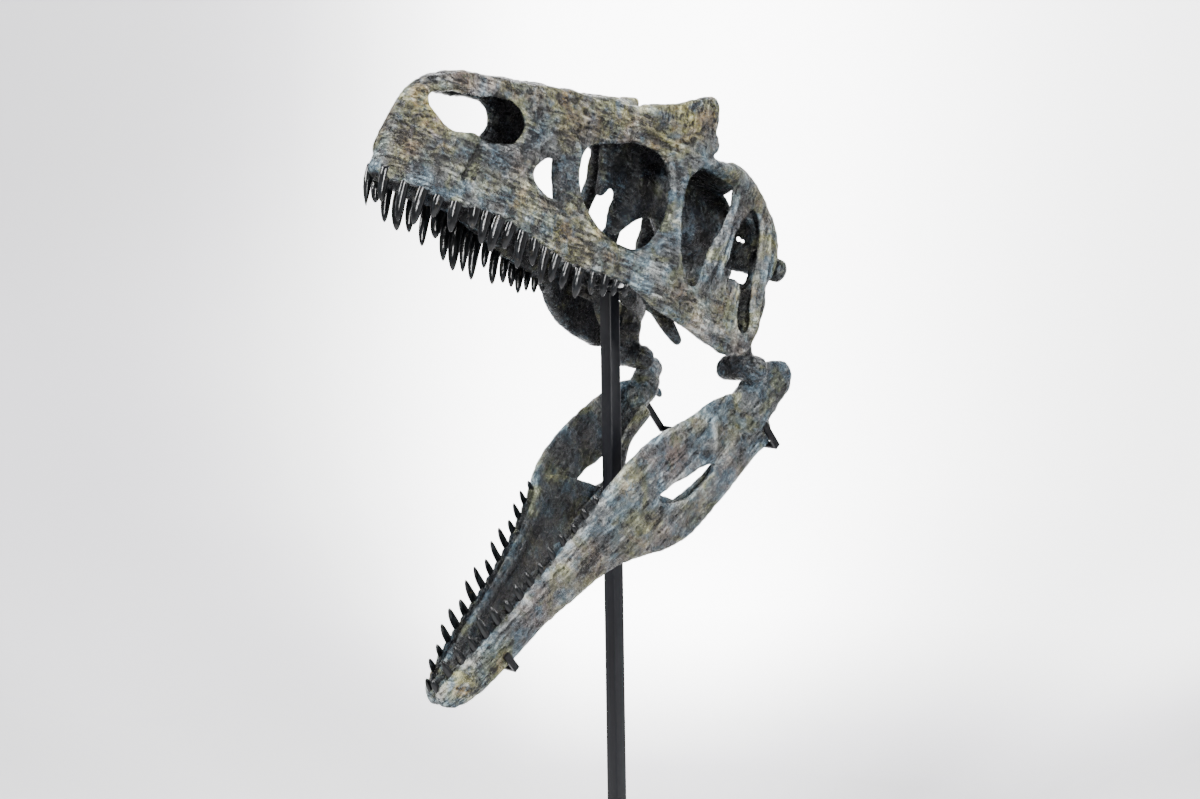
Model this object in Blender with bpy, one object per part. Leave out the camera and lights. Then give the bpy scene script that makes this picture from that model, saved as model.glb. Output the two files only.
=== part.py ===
"""Skull and lower jaw of an Allosaurus, mouth open, on a square steel post with a plate foot.

Metres, +Z up. The snout points to -Y and the animal's left is +X. The post stands on the Z axis.

Cranium points are (x, s, z): half-width, distance back from the snout tip, height over the tooth row.
Jaw points are (x, m, n): half-width, distance forward of the jaw joint, height over the joint's axis.
Each left bone is modelled and mirrored; bones of one sheet are parted along their sutures.
"""

import math

import bmesh
import bpy
import numpy as np
from mathutils import Matrix, Vector

# Pose
JOINT_Y = 0.186
JOINT_Z = 1.213
NOSE_UP = math.radians(21.5)
JAW_DOWN = math.radians(38.0)
JOINT_S = 0.781
JOINT_H = -0.095

# Sides of the animal; the right one's cheek hangs lower and its jaw is shallower behind
SIDES = {1: "left", -1: "right"}
CHEEK_DROP = 0.025
CHEEK_S = 0.600
CHEEK_REACH = 0.130
JAW_REAR_M = 0.225
RIGHT_JAW_REAR = [
    (0.212, -0.118), (0.166, -0.101), (0.123, -0.089), (0.071, -0.074), (0.032, -0.062), (-0.009, -0.061),
]
ARTICULAR_SIZE = {1: 1.0, -1: 0.62}

# Bone
GAP = 0.0004
VOXEL = 0.004
SHEET = 0.012
SMOOTH_STEPS = 3
OUTER_TRIANGLES = 790
MIDLINE_TRIANGLES = 330
JAW_TRIANGLES = 320
QUADRATE_TRIANGLES = 100
PTERYGOID_TRIANGLES = 110
ARTICULAR_TRIANGLES = 80
SMALL_TRIANGLES = 46
SPLENIAL_TRIANGLES = 46

# Steel
POST_SIDE = 0.025
POST_TOP = 1.386
BASE_SIDE = 0.50
BASE_THICK = 0.012
SADDLE_SIZE = (0.072, 0.068, 0.006)
SADDLE_Y = 0.0215
CROSSBAR_HALF = 0.0650
CROSSBAR_Z = 0.985
CROSSBAR_SIDE = 0.010
RAIL_RADIUS = 0.005
EDGE_RADIUS = 0.002
CLIP_WIDTH = 0.012
CLIP_STEEL = 0.005
# Clips under the jaw, in its axes: place along it, reach from inside to outside, and low and high ends
CLIPS = [
    {"m": 0.004, "inner": 0.070, "outer": 0.1390, "low": -0.1425, "high": -0.072},
    {"m": 0.618, "inner": 0.017, "outer": 0.0555, "low": -0.038, "high": -0.002},
]

# Outlines of the left side wall of the cranium, as (s, z)
WALL = [
    (-0.006, 0.022), (0.060, 0.017), (0.127, 0.014), (0.204, 0.020), (0.288, 0.007), (0.375, -0.006),
    (0.460, -0.005), (0.510, -0.010), (0.545, -0.026), (0.605, -0.040), (0.665, -0.052),
    (0.725, -0.061), (0.756, -0.050), (0.776, -0.015), (0.784, 0.040), (0.780, 0.078),
    (0.793, 0.105), (0.795, 0.135), (0.778, 0.178), (0.745, 0.208), (0.716, 0.227), (0.691, 0.243),
    (0.657, 0.251), (0.628, 0.250), (0.607, 0.246), (0.615, 0.268), (0.604, 0.292), (0.599, 0.320),
    (0.586, 0.346), (0.551, 0.333), (0.515, 0.313), (0.486, 0.294), (0.459, 0.277), (0.400, 0.272),
    (0.329, 0.266), (0.244, 0.248), (0.173, 0.231), (0.103, 0.215), (0.059, 0.192), (0.036, 0.168),
    (0.014, 0.140), (0.000, 0.105), (-0.007, 0.060),
]
NARIS = [
    (0.049, 0.158), (0.066, 0.171), (0.134, 0.187), (0.178, 0.200), (0.208, 0.200), (0.226, 0.188),
    (0.231, 0.165), (0.220, 0.144), (0.192, 0.130), (0.164, 0.122), (0.138, 0.128), (0.098, 0.118),
    (0.066, 0.132),
]
MAXILLARY_FENESTRA = [
    (0.299, 0.143), (0.326, 0.125), (0.330, 0.103), (0.318, 0.085), (0.290, 0.088), (0.268, 0.106),
    (0.277, 0.130),
]
ANTORBITAL_FENESTRA = [
    (0.370, 0.187), (0.357, 0.140), (0.366, 0.109), (0.384, 0.089), (0.425, 0.064), (0.464, 0.053),
    (0.498, 0.060), (0.519, 0.086), (0.534, 0.116), (0.538, 0.150), (0.529, 0.197), (0.508, 0.222),
    (0.476, 0.229), (0.437, 0.217), (0.395, 0.200),
]
ORBIT = [
    (0.566, 0.200), (0.598, 0.229), (0.630, 0.237), (0.656, 0.226), (0.664, 0.200), (0.655, 0.146),
    (0.640, 0.113), (0.628, 0.064), (0.618, 0.029), (0.600, 0.028), (0.583, 0.050), (0.570, 0.085),
    (0.563, 0.140),
]
TEMPORAL_FENESTRA = [
    (0.702, 0.180), (0.715, 0.193), (0.738, 0.165), (0.745, 0.130), (0.745, 0.085), (0.750, 0.030),
    (0.756, -0.005), (0.735, -0.014), (0.717, 0.024), (0.709, 0.062), (0.672, 0.068), (0.676, 0.100),
    (0.681, 0.141),
]

# Half-width of the cranium's outer surface along s, at the tooth row and at the top of the wall
LOW_S = [-0.008, 0.002, 0.012, 0.026, 0.051, 0.076, 0.126, 0.226, 0.326, 0.426, 0.506, 0.626, 0.726, 0.80]
LOW_X = [0.0, 0.018, 0.028, 0.036, 0.047, 0.053, 0.061, 0.072, 0.082, 0.094, 0.105, 0.125, 0.138, 0.138]
TOP_S = [-0.008, 0.046, 0.076, 0.126, 0.226, 0.326, 0.426, 0.476, 0.526, 0.576, 0.626, 0.676, 0.80]
TOP_X = [0.0, 0.020, 0.030, 0.036, 0.041, 0.047, 0.052, 0.062, 0.082, 0.098, 0.108, 0.118, 0.122]
TOP_Z_S = [-0.008, 0.02, 0.07, 0.12, 0.326, 0.526, 0.82]
TOP_Z = [0.12, 0.15, 0.19, 0.21, 0.25, 0.26, 0.22]

# Behind the snout each side is drawn outwards and forwards, by these shares of its half-width
FLARE_START = 0.35
FLARE_END = 0.58
FLARE_OUT = 0.15
FLARE_FORWARD = 0.155

# Height of the roof over the midline along s
ROOF_S = [0.00, 0.03, 0.06, 0.10, 0.17, 0.24, 0.33, 0.40, 0.46, 0.52, 0.60, 0.65, 0.70, 0.75, 0.79]
ROOF_Z = [0.11, 0.166, 0.194, 0.217, 0.234, 0.251, 0.270, 0.276, 0.274, 0.265, 0.247, 0.236, 0.222, 0.204, 0.186]
ROOF_THICK = 0.012
# Plan outlines of the roof, as (s, x): the nasals, then the frontals and parietals
NASAL_ROOF = [
    (0.030, -0.02), (0.034, 0.010), (0.060, 0.021), (0.100, 0.030), (0.150, 0.035), (0.250, 0.040),
    (0.350, 0.046), (0.430, 0.050), (0.480, 0.058), (0.512, 0.062), (0.508, 0.020), (0.500, -0.02),
]
SKULL_ROOF = [
    (0.500, -0.02), (0.508, 0.020), (0.512, 0.062), (0.545, 0.076), (0.600, 0.088), (0.640, 0.102),
    (0.670, 0.100), (0.688, 0.078), (0.704, 0.052), (0.724, 0.038), (0.748, 0.042), (0.764, 0.075),
    (0.776, 0.106), (0.790, 0.106), (0.786, 0.060), (0.778, 0.030), (0.776, -0.02),
]

# Plate of bone on the midline between the eyes, as (s, z)
SEPTUM = [
    (0.452, 0.262), (0.455, 0.165), (0.464, 0.134), (0.493, 0.156), (0.496, 0.125), (0.504, 0.089),
    (0.520, 0.085), (0.543, 0.105), (0.575, 0.132), (0.620, 0.150), (0.640, 0.200), (0.600, 0.240),
]

# The jaw: outline as (m, n)
JAW = [
    (0.018, 0.002), (0.068, 0.030), (0.131, 0.045), (0.181, 0.065), (0.241, 0.073), (0.289, 0.072),
    (0.334, 0.060), (0.392, 0.050), (0.461, 0.041), (0.552, 0.037), (0.635, 0.038), (0.698, 0.036),
    (0.731, 0.032), (0.744, 0.016), (0.736, -0.007), (0.710, -0.021), (0.645, -0.026), (0.578, -0.028),
    (0.516, -0.032), (0.465, -0.041), (0.402, -0.051), (0.358, -0.064), (0.317, -0.092),
    (0.276, -0.117), (0.237, -0.131), (0.200, -0.137), (0.114, -0.133), (0.037, -0.132),
    (-0.011, -0.130), (-0.021, -0.082), (-0.013, -0.031),
]
JAW_FENESTRA = [
    (0.248, -0.026), (0.222, -0.023), (0.184, -0.037), (0.145, -0.050), (0.125, -0.061),
    (0.144, -0.078), (0.175, -0.077), (0.199, -0.073), (0.224, -0.058), (0.242, -0.040),
]
# Plate on the inner side of the jaw's front half, as (m, n), and where it lies inside the outer surface
SPLENIAL = [
    (0.306, 0.058), (0.333, 0.043), (0.384, 0.025), (0.465, 0.019), (0.565, 0.017), (0.633, 0.015),
    (0.662, 0.000), (0.640, -0.020), (0.590, -0.023), (0.530, -0.027), (0.479, -0.036), (0.414, -0.047),
    (0.354, -0.068), (0.293, -0.094), (0.243, -0.100), (0.208, -0.086), (0.221, -0.050), (0.239, -0.020),
    (0.257, 0.011), (0.281, 0.040),
]
SPLENIAL_INSIDE = 0.013
SPLENIAL_THICK = 0.005
# The jaw's half-width along m
JAW_M = [-0.12, 0.0, 0.10, 0.20, 0.30, 0.36, 0.42, 0.50, 0.58, 0.66, 0.70, 0.735, 0.755]
JAW_X = [0.130, 0.132, 0.125, 0.110, 0.098, 0.085, 0.072, 0.060, 0.052, 0.041, 0.031, 0.019, 0.011]

# Suture corners on the cranium's side wall, as (s, z); capitals are inside an opening or off the bone
S = {
    "FRONT_LOW": (-0.10, -0.15), "FRONT_HIGH": (-0.10, 0.45), "TOOTH_LOW": (0.150, -0.15),
    "tooth": (0.153, 0.03), "subnarial": (0.186, 0.10), "NARIS_REAR": (0.196, 0.160),
    "NARIS_FRONT": (0.090, 0.150), "nasal_tip": (0.086, 0.195), "NASAL_HIGH": (0.076, 0.45),
    "naris_rear": (0.240, 0.176), "nasal_mid": (0.305, 0.214), "lacrimal_tip": (0.385, 0.236),
    "ANT_FRONT": (0.420, 0.190), "nasal_rear": (0.452, 0.248), "horn_front": (0.480, 0.276),
    "HORN_HIGH": (0.470, 0.45), "ANT_MID": (0.470, 0.120), "ANT_REAR": (0.500, 0.075),
    "jugal_tip": (0.508, 0.045), "jugal_low": (0.522, -0.012), "JUGAL_OUT": (0.500, -0.15),
    "lacrimal_foot": (0.548, 0.022), "orbit_low": (0.582, 0.030), "ORBIT_LOW": (0.607, 0.060),
    "ORBIT_MID": (0.605, 0.130), "ORBIT_TOP": (0.605, 0.205), "horn_rear": (0.606, 0.246),
    "HORN_OUT": (0.640, 0.45), "orbit_rear": (0.640, 0.088), "temporal_low": (0.674, 0.074),
    "TEMP_MID": (0.698, 0.085), "TEMP_HIGH": (0.708, 0.160), "post_top": (0.716, 0.205),
    "POST_HIGH": (0.712, 0.45), "REAR_HIGH": (0.95, 0.45), "REAR_MID": (0.95, 0.10),
    "quadratojugal_top": (0.760, 0.092), "TEMP_REAR": (0.722, 0.115), "TEMP_LOW": (0.735, 0.005),
    "jugal_rear": (0.716, -0.022), "JUGAL_LOW": (0.700, -0.15), "REAR_LOW": (0.95, -0.15),
    "FRONTAL_OUT": (0.35, 0.30), "FRONTAL_LOW": (0.35, 0.215), "BRAIN_OUT": (0.35, -0.15),
    "roof_floor": (0.648, 0.205), "parietal_rear": (0.770, 0.172), "PARIETAL_OUT": (0.95, 0.150),
    "ROOF_HIGH": (0.655, 0.45), "FRONTAL_HIGH": (0.35, 0.45),
}
WALL_BONES = {
    "premaxilla": "FRONT_LOW TOOTH_LOW tooth subnarial NARIS_REAR NARIS_FRONT nasal_tip NASAL_HIGH FRONT_HIGH",
    "maxilla": "TOOTH_LOW JUGAL_OUT jugal_low jugal_tip ANT_REAR ANT_MID ANT_FRONT lacrimal_tip nasal_mid "
    "naris_rear NARIS_REAR subnarial tooth",
    "nasal": "NARIS_FRONT NARIS_REAR naris_rear nasal_mid lacrimal_tip nasal_rear horn_front HORN_HIGH "
    "NASAL_HIGH nasal_tip",
    "lacrimal": "ANT_FRONT ANT_MID ANT_REAR jugal_tip lacrimal_foot orbit_low ORBIT_LOW ORBIT_MID "
    "ORBIT_TOP horn_rear HORN_OUT HORN_HIGH horn_front nasal_rear lacrimal_tip",
    "jugal": "JUGAL_OUT JUGAL_LOW jugal_rear TEMP_LOW TEMP_MID temporal_low orbit_rear ORBIT_LOW "
    "orbit_low lacrimal_foot jugal_tip jugal_low",
    "postorbital": "ORBIT_LOW orbit_rear temporal_low TEMP_MID TEMP_HIGH post_top POST_HIGH HORN_OUT "
    "horn_rear ORBIT_TOP ORBIT_MID",
    "squamosal": "TEMP_HIGH TEMP_REAR quadratojugal_top REAR_MID REAR_HIGH POST_HIGH post_top",
    "quadratojugal": "JUGAL_LOW REAR_LOW REAR_MID quadratojugal_top TEMP_REAR TEMP_MID TEMP_LOW jugal_rear",
}
MIDLINE_BONES = {
    "frontal": "FRONTAL_OUT FRONTAL_LOW roof_floor ROOF_HIGH FRONTAL_HIGH",
    "parietal": "ROOF_HIGH roof_floor parietal_rear PARIETAL_OUT REAR_HIGH",
    "braincase": "FRONTAL_LOW BRAIN_OUT REAR_LOW PARIETAL_OUT parietal_rear roof_floor",
}
J = {
    "TIP_HIGH": (0.90, 0.20), "TIP_LOW": (0.90, -0.20), "DENTARY_HIGH": (0.310, 0.20),
    "dentary_top": (0.296, 0.052), "dentary_mid": (0.284, 0.007), "FEN_FRONT": (0.229, -0.036),
    "dentary_low": (0.262, -0.068), "ANGULAR_OUT": (0.330, -0.20), "FEN_REAR": (0.155, -0.065),
    "angular_mid": (0.067, -0.062), "angular_rear": (-0.006, -0.080), "REAR_LOW": (-0.20, -0.20),
    "REAR_MID": (-0.20, -0.085), "REAR_HIGH": (-0.20, 0.20),
}
JAW_BONES = {
    "dentary": "TIP_HIGH DENTARY_HIGH dentary_top dentary_mid FEN_FRONT dentary_low ANGULAR_OUT TIP_LOW",
    "surangular": "DENTARY_HIGH REAR_HIGH REAR_MID angular_rear angular_mid FEN_REAR FEN_FRONT dentary_mid "
    "dentary_top",
    "angular": "ANGULAR_OUT dentary_low FEN_FRONT FEN_REAR angular_mid angular_rear REAR_MID REAR_LOW",
}

# Tooth rows: count, first and last place along s or m, how far inside the outer surface
UPPER_TEETH = {"premaxilla": (5, 0.012, 0.132, 0.010), "maxilla": (14, 0.167, 0.495, 0.011)}
DENTARY_TEETH = (15, 0.728, 0.335, 0.012)
TOOTH_ROOT = 0.012
# Height of the edge that the teeth grow from, along s above and along m below
EDGE_S = [0.0, 0.060, 0.127, 0.204, 0.288, 0.375, 0.510]
EDGE_Z = [0.022, 0.017, 0.014, 0.020, 0.007, -0.006, -0.010]
EDGE_M = [0.289, 0.334, 0.392, 0.461, 0.552, 0.635, 0.698, 0.733]
EDGE_N = [0.072, 0.060, 0.050, 0.041, 0.037, 0.038, 0.036, 0.031]
# Length of the crowns along each row, on either side
UPPER_LENGTH_S = [0.0, 0.06, 0.12, 0.17, 0.21, 0.27, 0.32, 0.40, 0.45, 0.50]
UPPER_LENGTHS = {
    1: [0.064, 0.058, 0.044, 0.042, 0.052, 0.054, 0.056, 0.047, 0.032, 0.014],
    -1: [0.052, 0.052, 0.056, 0.064, 0.070, 0.080, 0.058, 0.046, 0.040, 0.016],
}
LOWER_LENGTH_M = [0.33, 0.45, 0.55, 0.62, 0.67, 0.73]
LOWER_LENGTHS = {
    1: [0.014, 0.022, 0.028, 0.040, 0.034, 0.028],
    -1: [0.024, 0.042, 0.047, 0.042, 0.034, 0.018],
}

BONE_COLOURS = {
    "dark": (0.075, 0.085, 0.095, 1.0),
    "mid": (0.14, 0.155, 0.16, 1.0),
    "pale": (0.22, 0.24, 0.235, 1.0),
    "ochre": (0.20, 0.19, 0.12, 1.0),
}
STEEL_COLOUR = (0.05, 0.052, 0.06, 1.0)


def clear_scene():
    for obj in list(bpy.data.objects):
        bpy.data.objects.remove(obj)


def principled(name, colour, roughness, metallic):
    material = bpy.data.materials.new(name)
    material.use_nodes = True
    shader = material.node_tree.nodes["Principled BSDF"]
    shader.inputs["Base Color"].default_value = colour
    shader.inputs["Roughness"].default_value = roughness
    shader.inputs["Metallic"].default_value = metallic
    material.diffuse_color = colour
    return material


def coordinates(mesh):
    points = np.empty(len(mesh.vertices) * 3)
    mesh.vertices.foreach_get("co", points)
    return points.reshape(-1, 3)


def place_points(mesh, points):
    mesh.vertices.foreach_set("co", points.ravel())
    mesh.update()


def finished_bmesh(bm, name="shape"):
    """The bmesh as a mesh with its faces pointing out."""
    bmesh.ops.recalc_face_normals(bm, faces=bm.faces)
    mesh = bpy.data.meshes.new(name)
    bm.to_mesh(mesh)
    bm.free()
    return mesh


def baked(obj):
    """The object's mesh with its modifiers applied; the object goes."""
    bpy.context.view_layer.update()
    graph = bpy.context.evaluated_depsgraph_get()
    mesh = bpy.data.meshes.new_from_object(obj.evaluated_get(graph))
    bpy.data.objects.remove(obj)
    return mesh


def linked(mesh, name="work"):
    obj = bpy.data.objects.new(name, mesh)
    bpy.context.scene.collection.objects.link(obj)
    return obj


def joined(meshes):
    bm = bmesh.new()
    for mesh in meshes:
        bm.from_mesh(mesh)
    mesh = bpy.data.meshes.new("joined")
    bm.to_mesh(mesh)
    bm.free()
    return mesh


def remeshed(mesh, voxel, smooth_steps=0):
    obj = linked(mesh)
    remesh = obj.modifiers.new("voxels", "REMESH")
    remesh.mode = "VOXEL"
    remesh.voxel_size = voxel
    if smooth_steps:
        smooth = obj.modifiers.new("worn", "SMOOTH")
        smooth.factor = 0.5
        smooth.iterations = smooth_steps
    return baked(obj)


def thinned(mesh, triangles):
    """The mesh brought down to about this many triangles."""
    mesh.calc_loop_triangles()
    obj = linked(mesh)
    fewer = obj.modifiers.new("fewer", "DECIMATE")
    fewer.ratio = min(1.0, triangles / len(mesh.loop_triangles))
    fewer.use_collapse_triangulate = True
    return baked(obj)


def combined(mesh, tool, operation, solver="EXACT"):
    obj = linked(mesh)
    other = linked(tool, "tool")
    other.hide_render = True
    other.display_type = "WIRE"
    boolean = obj.modifiers.new("boolean", "BOOLEAN")
    boolean.operation = operation
    boolean.solver = solver
    boolean.object = other
    result = baked(obj)
    bpy.data.objects.remove(other)
    return result


def largest(mesh):
    """The biggest connected piece of the mesh, without the crumbs that a cut leaves."""
    bm = bmesh.new()
    bm.from_mesh(mesh)
    unseen = set(bm.verts)
    pieces = []
    while unseen:
        stack = [unseen.pop()]
        piece = set(stack)
        while stack:
            for edge in stack.pop().link_edges:
                for vertex in edge.verts:
                    if vertex in unseen:
                        unseen.remove(vertex)
                        piece.add(vertex)
                        stack.append(vertex)
        pieces.append(piece)
    pieces.sort(key=len)
    crumbs = [vertex for piece in pieces[:-1] for vertex in piece]
    bmesh.ops.delete(bm, geom=crumbs, context="VERTS")
    kept = bpy.data.meshes.new("largest")
    bm.to_mesh(kept)
    bm.free()
    return kept


def grown(mesh, distance=GAP):
    """A copy of the mesh, larger all round by a distance."""
    copy = mesh.copy()
    normals = np.array([vertex.normal for vertex in copy.vertices])
    place_points(copy, coordinates(copy) + normals * distance)
    return copy


def fitted(mesh, neighbours):
    """The mesh with its neighbours cut out of it, a gap wide."""
    for neighbour in neighbours:
        for tool in (grown(neighbour), neighbour.copy()):
            mesh = combined(mesh, tool, "DIFFERENCE")
    return largest(mesh)


def mirrored(mesh):
    copy = mesh.copy()
    place_points(copy, coordinates(copy) * (-1, 1, 1))
    copy.flip_normals()
    return copy


def flat_sheet(outline, holes=()):
    """A flat sheet in the XY plane, SHEET thick, with smooth edges through the given points."""
    curve = bpy.data.curves.new("outline", "CURVE")
    curve.dimensions = "2D"
    curve.fill_mode = "BOTH"
    curve.extrude = SHEET / 2
    curve.resolution_u = 6
    for loop in [outline, *holes]:
        spline = curve.splines.new("BEZIER")
        spline.bezier_points.add(len(loop) - 1)
        for point, (a, b) in zip(spline.bezier_points, loop):
            point.co = (a, b, 0)
            point.handle_left_type = "AUTO"
            point.handle_right_type = "AUTO"
        spline.use_cyclic_u = True
    return remeshed(baked(linked(curve)), VOXEL)


def half_width(s, z):
    low = np.interp(s, LOW_S, LOW_X)
    high = np.interp(s, TOP_S, TOP_X)
    share = np.clip(z / np.interp(s, TOP_Z_S, TOP_Z), 0, 1.2)
    return low + (high - low) * share


def flare_point(x, s):
    """Where a point of the cranium at (x, s) goes as the skull widens behind the snout."""
    share = np.clip((s - FLARE_START) / (FLARE_END - FLARE_START), 0, 1)
    share = share * share * (3 - 2 * share)
    return x * (1 + FLARE_OUT * share), s - FLARE_FORWARD * np.abs(x) * share


def flared(mesh):
    """The mesh of part of the cranium, with every point so moved."""
    x, s, z = coordinates(mesh).T
    place_points(mesh, np.stack([*flare_point(x, s), z], axis=1))
    return mesh


def wall_thickness(s, z):
    """Thick along the tooth row and at the snout, and at the bars beside the eye."""
    teeth = 0.014 * np.clip((0.075 - z) / 0.05, 0, 1) * np.clip((0.56 - s) / 0.06, 0, 1)
    snout = 0.010 * np.clip((0.12 - s) / 0.06, 0, 1)
    horn = 0.016 * np.exp(-(((s - 0.565) / 0.06) ** 2)) * np.clip((z - 0.15) / 0.12, 0, 1)
    eye_bar = 0.006 * np.exp(-(((s - 0.555) / 0.02) ** 2)) + 0.006 * np.exp(-(((s - 0.670) / 0.03) ** 2))
    return SHEET + np.maximum(teeth, snout) + horn + eye_bar


def side_wall(outline):
    """A side wall with its openings, bent to the cranium's half-width."""
    holes = [NARIS, MAXILLARY_FENESTRA, ANTORBITAL_FENESTRA, ORBIT, TEMPORAL_FENESTRA]
    mesh = flat_sheet(outline, holes)
    s, z, across = coordinates(mesh).T
    step = 0.002
    slope = (half_width(s + step, z) - half_width(s - step, z)) / (2 * step)
    depth = (0.5 - across / SHEET) * wall_thickness(s, z)
    length = np.sqrt(1 + slope**2)
    x = half_width(s, z) - depth / length
    place_points(mesh, np.stack([x, s + depth * slope / length, z], axis=1))
    return mesh


def roof_sheet(outline):
    """A roof of the cranium over its plan outline, at the roof's height and slightly domed."""
    mesh = flat_sheet(outline)
    s, x, up = coordinates(mesh).T
    dome = 0.006 * (x / np.interp(s, TOP_S, TOP_X).clip(0.02)) ** 2
    top = np.interp(s, ROOF_S, ROOF_Z) - dome
    place_points(mesh, np.stack([x, s, top + (up / SHEET - 0.5) * ROOF_THICK], axis=1))
    return mesh


def along(values, samples):
    """The values run through smoothly (Catmull-Rom) at this many samples a stretch."""
    values = np.asarray(values, float)
    padded = np.concatenate([2 * values[:1] - values[1:2], values, 2 * values[-1:] - values[-2:-1]])
    steps = []
    for i in range(1, len(padded) - 2):
        before, start, end, after = padded[i - 1 : i + 3]
        for t in np.arange(samples) / samples:
            steps.append(
                0.5 * (2 * start + (end - before) * t + (2 * before - 5 * start + 4 * end - after) * t**2
                       + (3 * start - before - 3 * end + after) * t**3)
            )
    steps.append(values[-1])
    return np.array(steps)


def sweep(path, side, height, upwards=(0, 0, 1), samples=4, sides=12):
    """A bar of oval section: half-sizes across and along `upwards` at each point of its path."""
    centres = along(path, samples)
    across = along(side, samples).clip(0.001)
    tall = along(height, samples).clip(0.001)
    bm = bmesh.new()
    rings = []
    count = len(centres)
    for i, centre in enumerate(centres):
        tangent = Vector(centres[min(i + 1, count - 1)] - centres[max(i - 1, 0)]).normalized()
        out = Vector(upwards).cross(tangent).normalized()
        up = tangent.cross(out)
        ends = [(0.0, 1.0)]
        reach = min(across[i], tall[i])
        if i == 0:
            ends = [(-0.9 * reach, 0.4), (-0.5 * reach, 0.85), (0.0, 1.0)]
        if i == count - 1:
            ends = [(0.0, 1.0), (0.5 * reach, 0.85), (0.9 * reach, 0.4)]
        for shift, share in ends:
            ring = []
            for k in range(sides):
                angle = 2 * math.pi * k / sides
                offset = out * (across[i] * math.cos(angle)) + up * (tall[i] * math.sin(angle))
                ring.append(bm.verts.new(Vector(centre) + tangent * shift + offset * share))
            rings.append(ring)
    for ring, following in zip(rings, rings[1:]):
        for k in range(sides):
            after = (k + 1) % sides
            bm.faces.new((ring[k], ring[after], following[after], following[k]))
    bm.faces.new(rings[0])
    bm.faces.new(rings[-1])
    return finished_bmesh(bm)


def prism(corners, low, high, axes):
    """A straight-sided block over the corners. `axes` places (first, second, across) as (x, y, z)."""
    bm = bmesh.new()
    rings = []
    for across in (low, high):
        rings.append([bm.verts.new(axes(a, b, across)) for a, b in corners])
    bm.faces.new(rings[0])
    bm.faces.new(rings[1])
    count = len(corners)
    for k in range(count):
        after = (k + 1) % count
        bm.faces.new((rings[0][k], rings[0][after], rings[1][after], rings[1][k]))
    bm.normal_update()
    bmesh.ops.triangulate(bm, faces=bm.faces)
    return finished_bmesh(bm)


def inset(corners, distance):
    """The polygon drawn in by a distance along every side."""
    points = np.array(corners)
    ahead = np.roll(points, -1, axis=0) - points
    area = np.sum(points[:, 0] * np.roll(points[:, 1], -1) - np.roll(points[:, 0], -1) * points[:, 1])
    ahead /= np.linalg.norm(ahead, axis=1)[:, None]
    inward = np.stack([-ahead[:, 1], ahead[:, 0]], axis=1) * np.sign(area)
    before = np.roll(inward, 1, axis=0)
    corner = (inward + before) / (1 + np.sum(inward * before, axis=1))[:, None]
    return [tuple(point) for point in points + corner * distance]


def box(size, centre):
    bm = bmesh.new()
    bmesh.ops.create_cube(bm, size=1)
    bmesh.ops.scale(bm, vec=size, verts=bm.verts)
    bmesh.ops.translate(bm, vec=centre, verts=bm.verts)
    return finished_bmesh(bm)


def cranium_place():
    """Where the cranium's axes stand in the world; jaw_place does the same for the jaw's."""
    turn = Matrix.Rotation(-NOSE_UP, 4, "X")
    return Matrix.Translation((0, JOINT_Y, JOINT_Z)) @ turn @ Matrix.Translation((0, -JOINT_S, -JOINT_H))


def jaw_place():
    return Matrix.Translation((0, JOINT_Y, JOINT_Z)) @ Matrix.Rotation(JAW_DOWN, 4, "X")


def forward(path):
    """Jaw points, given as (x, m, n), in the jaw's own axes, whose Y runs backwards."""
    return [(x, -m, n) for x, m, n in path]


def tooth(base, tip, width, breadth, bend):
    """A blade tooth from its base to its tip: width along the jaw, breadth across it, bent backwards."""
    base = Vector(base)
    axis = Vector(tip) - base
    back = Vector(bend)
    across = axis.cross(back).normalized()
    lengthwise = across.cross(axis).normalized()
    bm = bmesh.new()
    rings = []
    sides = 4
    for share, thick in ((0.0, 1.0), (0.55, 0.78)):
        centre = base + axis * share - back * (share * (1 - share))
        ring = []
        for k in range(sides):
            angle = 2 * math.pi * k / sides
            offset = lengthwise * (width / 2 * math.cos(angle)) + across * (breadth / 2 * math.sin(angle))
            ring.append(bm.verts.new(centre + offset * thick))
        rings.append(ring)
    point = bm.verts.new(base + axis)
    for ring, following in zip(rings, rings[1:]):
        for k in range(sides):
            after = (k + 1) % sides
            bm.faces.new((ring[k], ring[after], following[after], following[k]))
    for k in range(sides):
        bm.faces.new((rings[-1][k], rings[-1][(k + 1) % sides], point))
    bm.faces.new(rings[0])
    bmesh.ops.triangulate(bm, faces=bm.faces)
    return finished_bmesh(bm)


def alveolus(s):
    """Height of the upper tooth row's edge along s."""
    return np.interp(s, EDGE_S, EDGE_Z)


def upper_tooth_length(s, index, side):
    """Longest over the front of the maxilla, shorter at both ends, with newer teeth among the old."""
    full = np.interp(s, UPPER_LENGTH_S, UPPER_LENGTHS[side])
    return full * (1.0 - 0.16 * (math.sin(2.4 * index + 1.1 * side) > 0.45))


def upper_teeth(row, side):
    count, first, last, inside = row
    teeth = []
    for i in range(count):
        s = first + (last - first) * i / (count - 1)
        x = float(half_width(s, 0.0)) - inside
        z = float(alveolus(s))
        x, s = flare_point(x, s)
        length = upper_tooth_length(s, i, side)
        width = np.interp(s, [0.0, 0.2, 0.5], [0.017, 0.020, 0.014])
        tip = (x - 0.004, s + 0.10 * length, z - length)
        teeth.append(tooth((x, s, z + TOOTH_ROOT), tip, width, width * 0.62, (0, 0.16 * length, 0)))
    return joined(teeth)


def jaw_edge(m):
    """Height of the lower tooth row's edge along m."""
    return np.interp(m, EDGE_M, EDGE_N)


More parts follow.
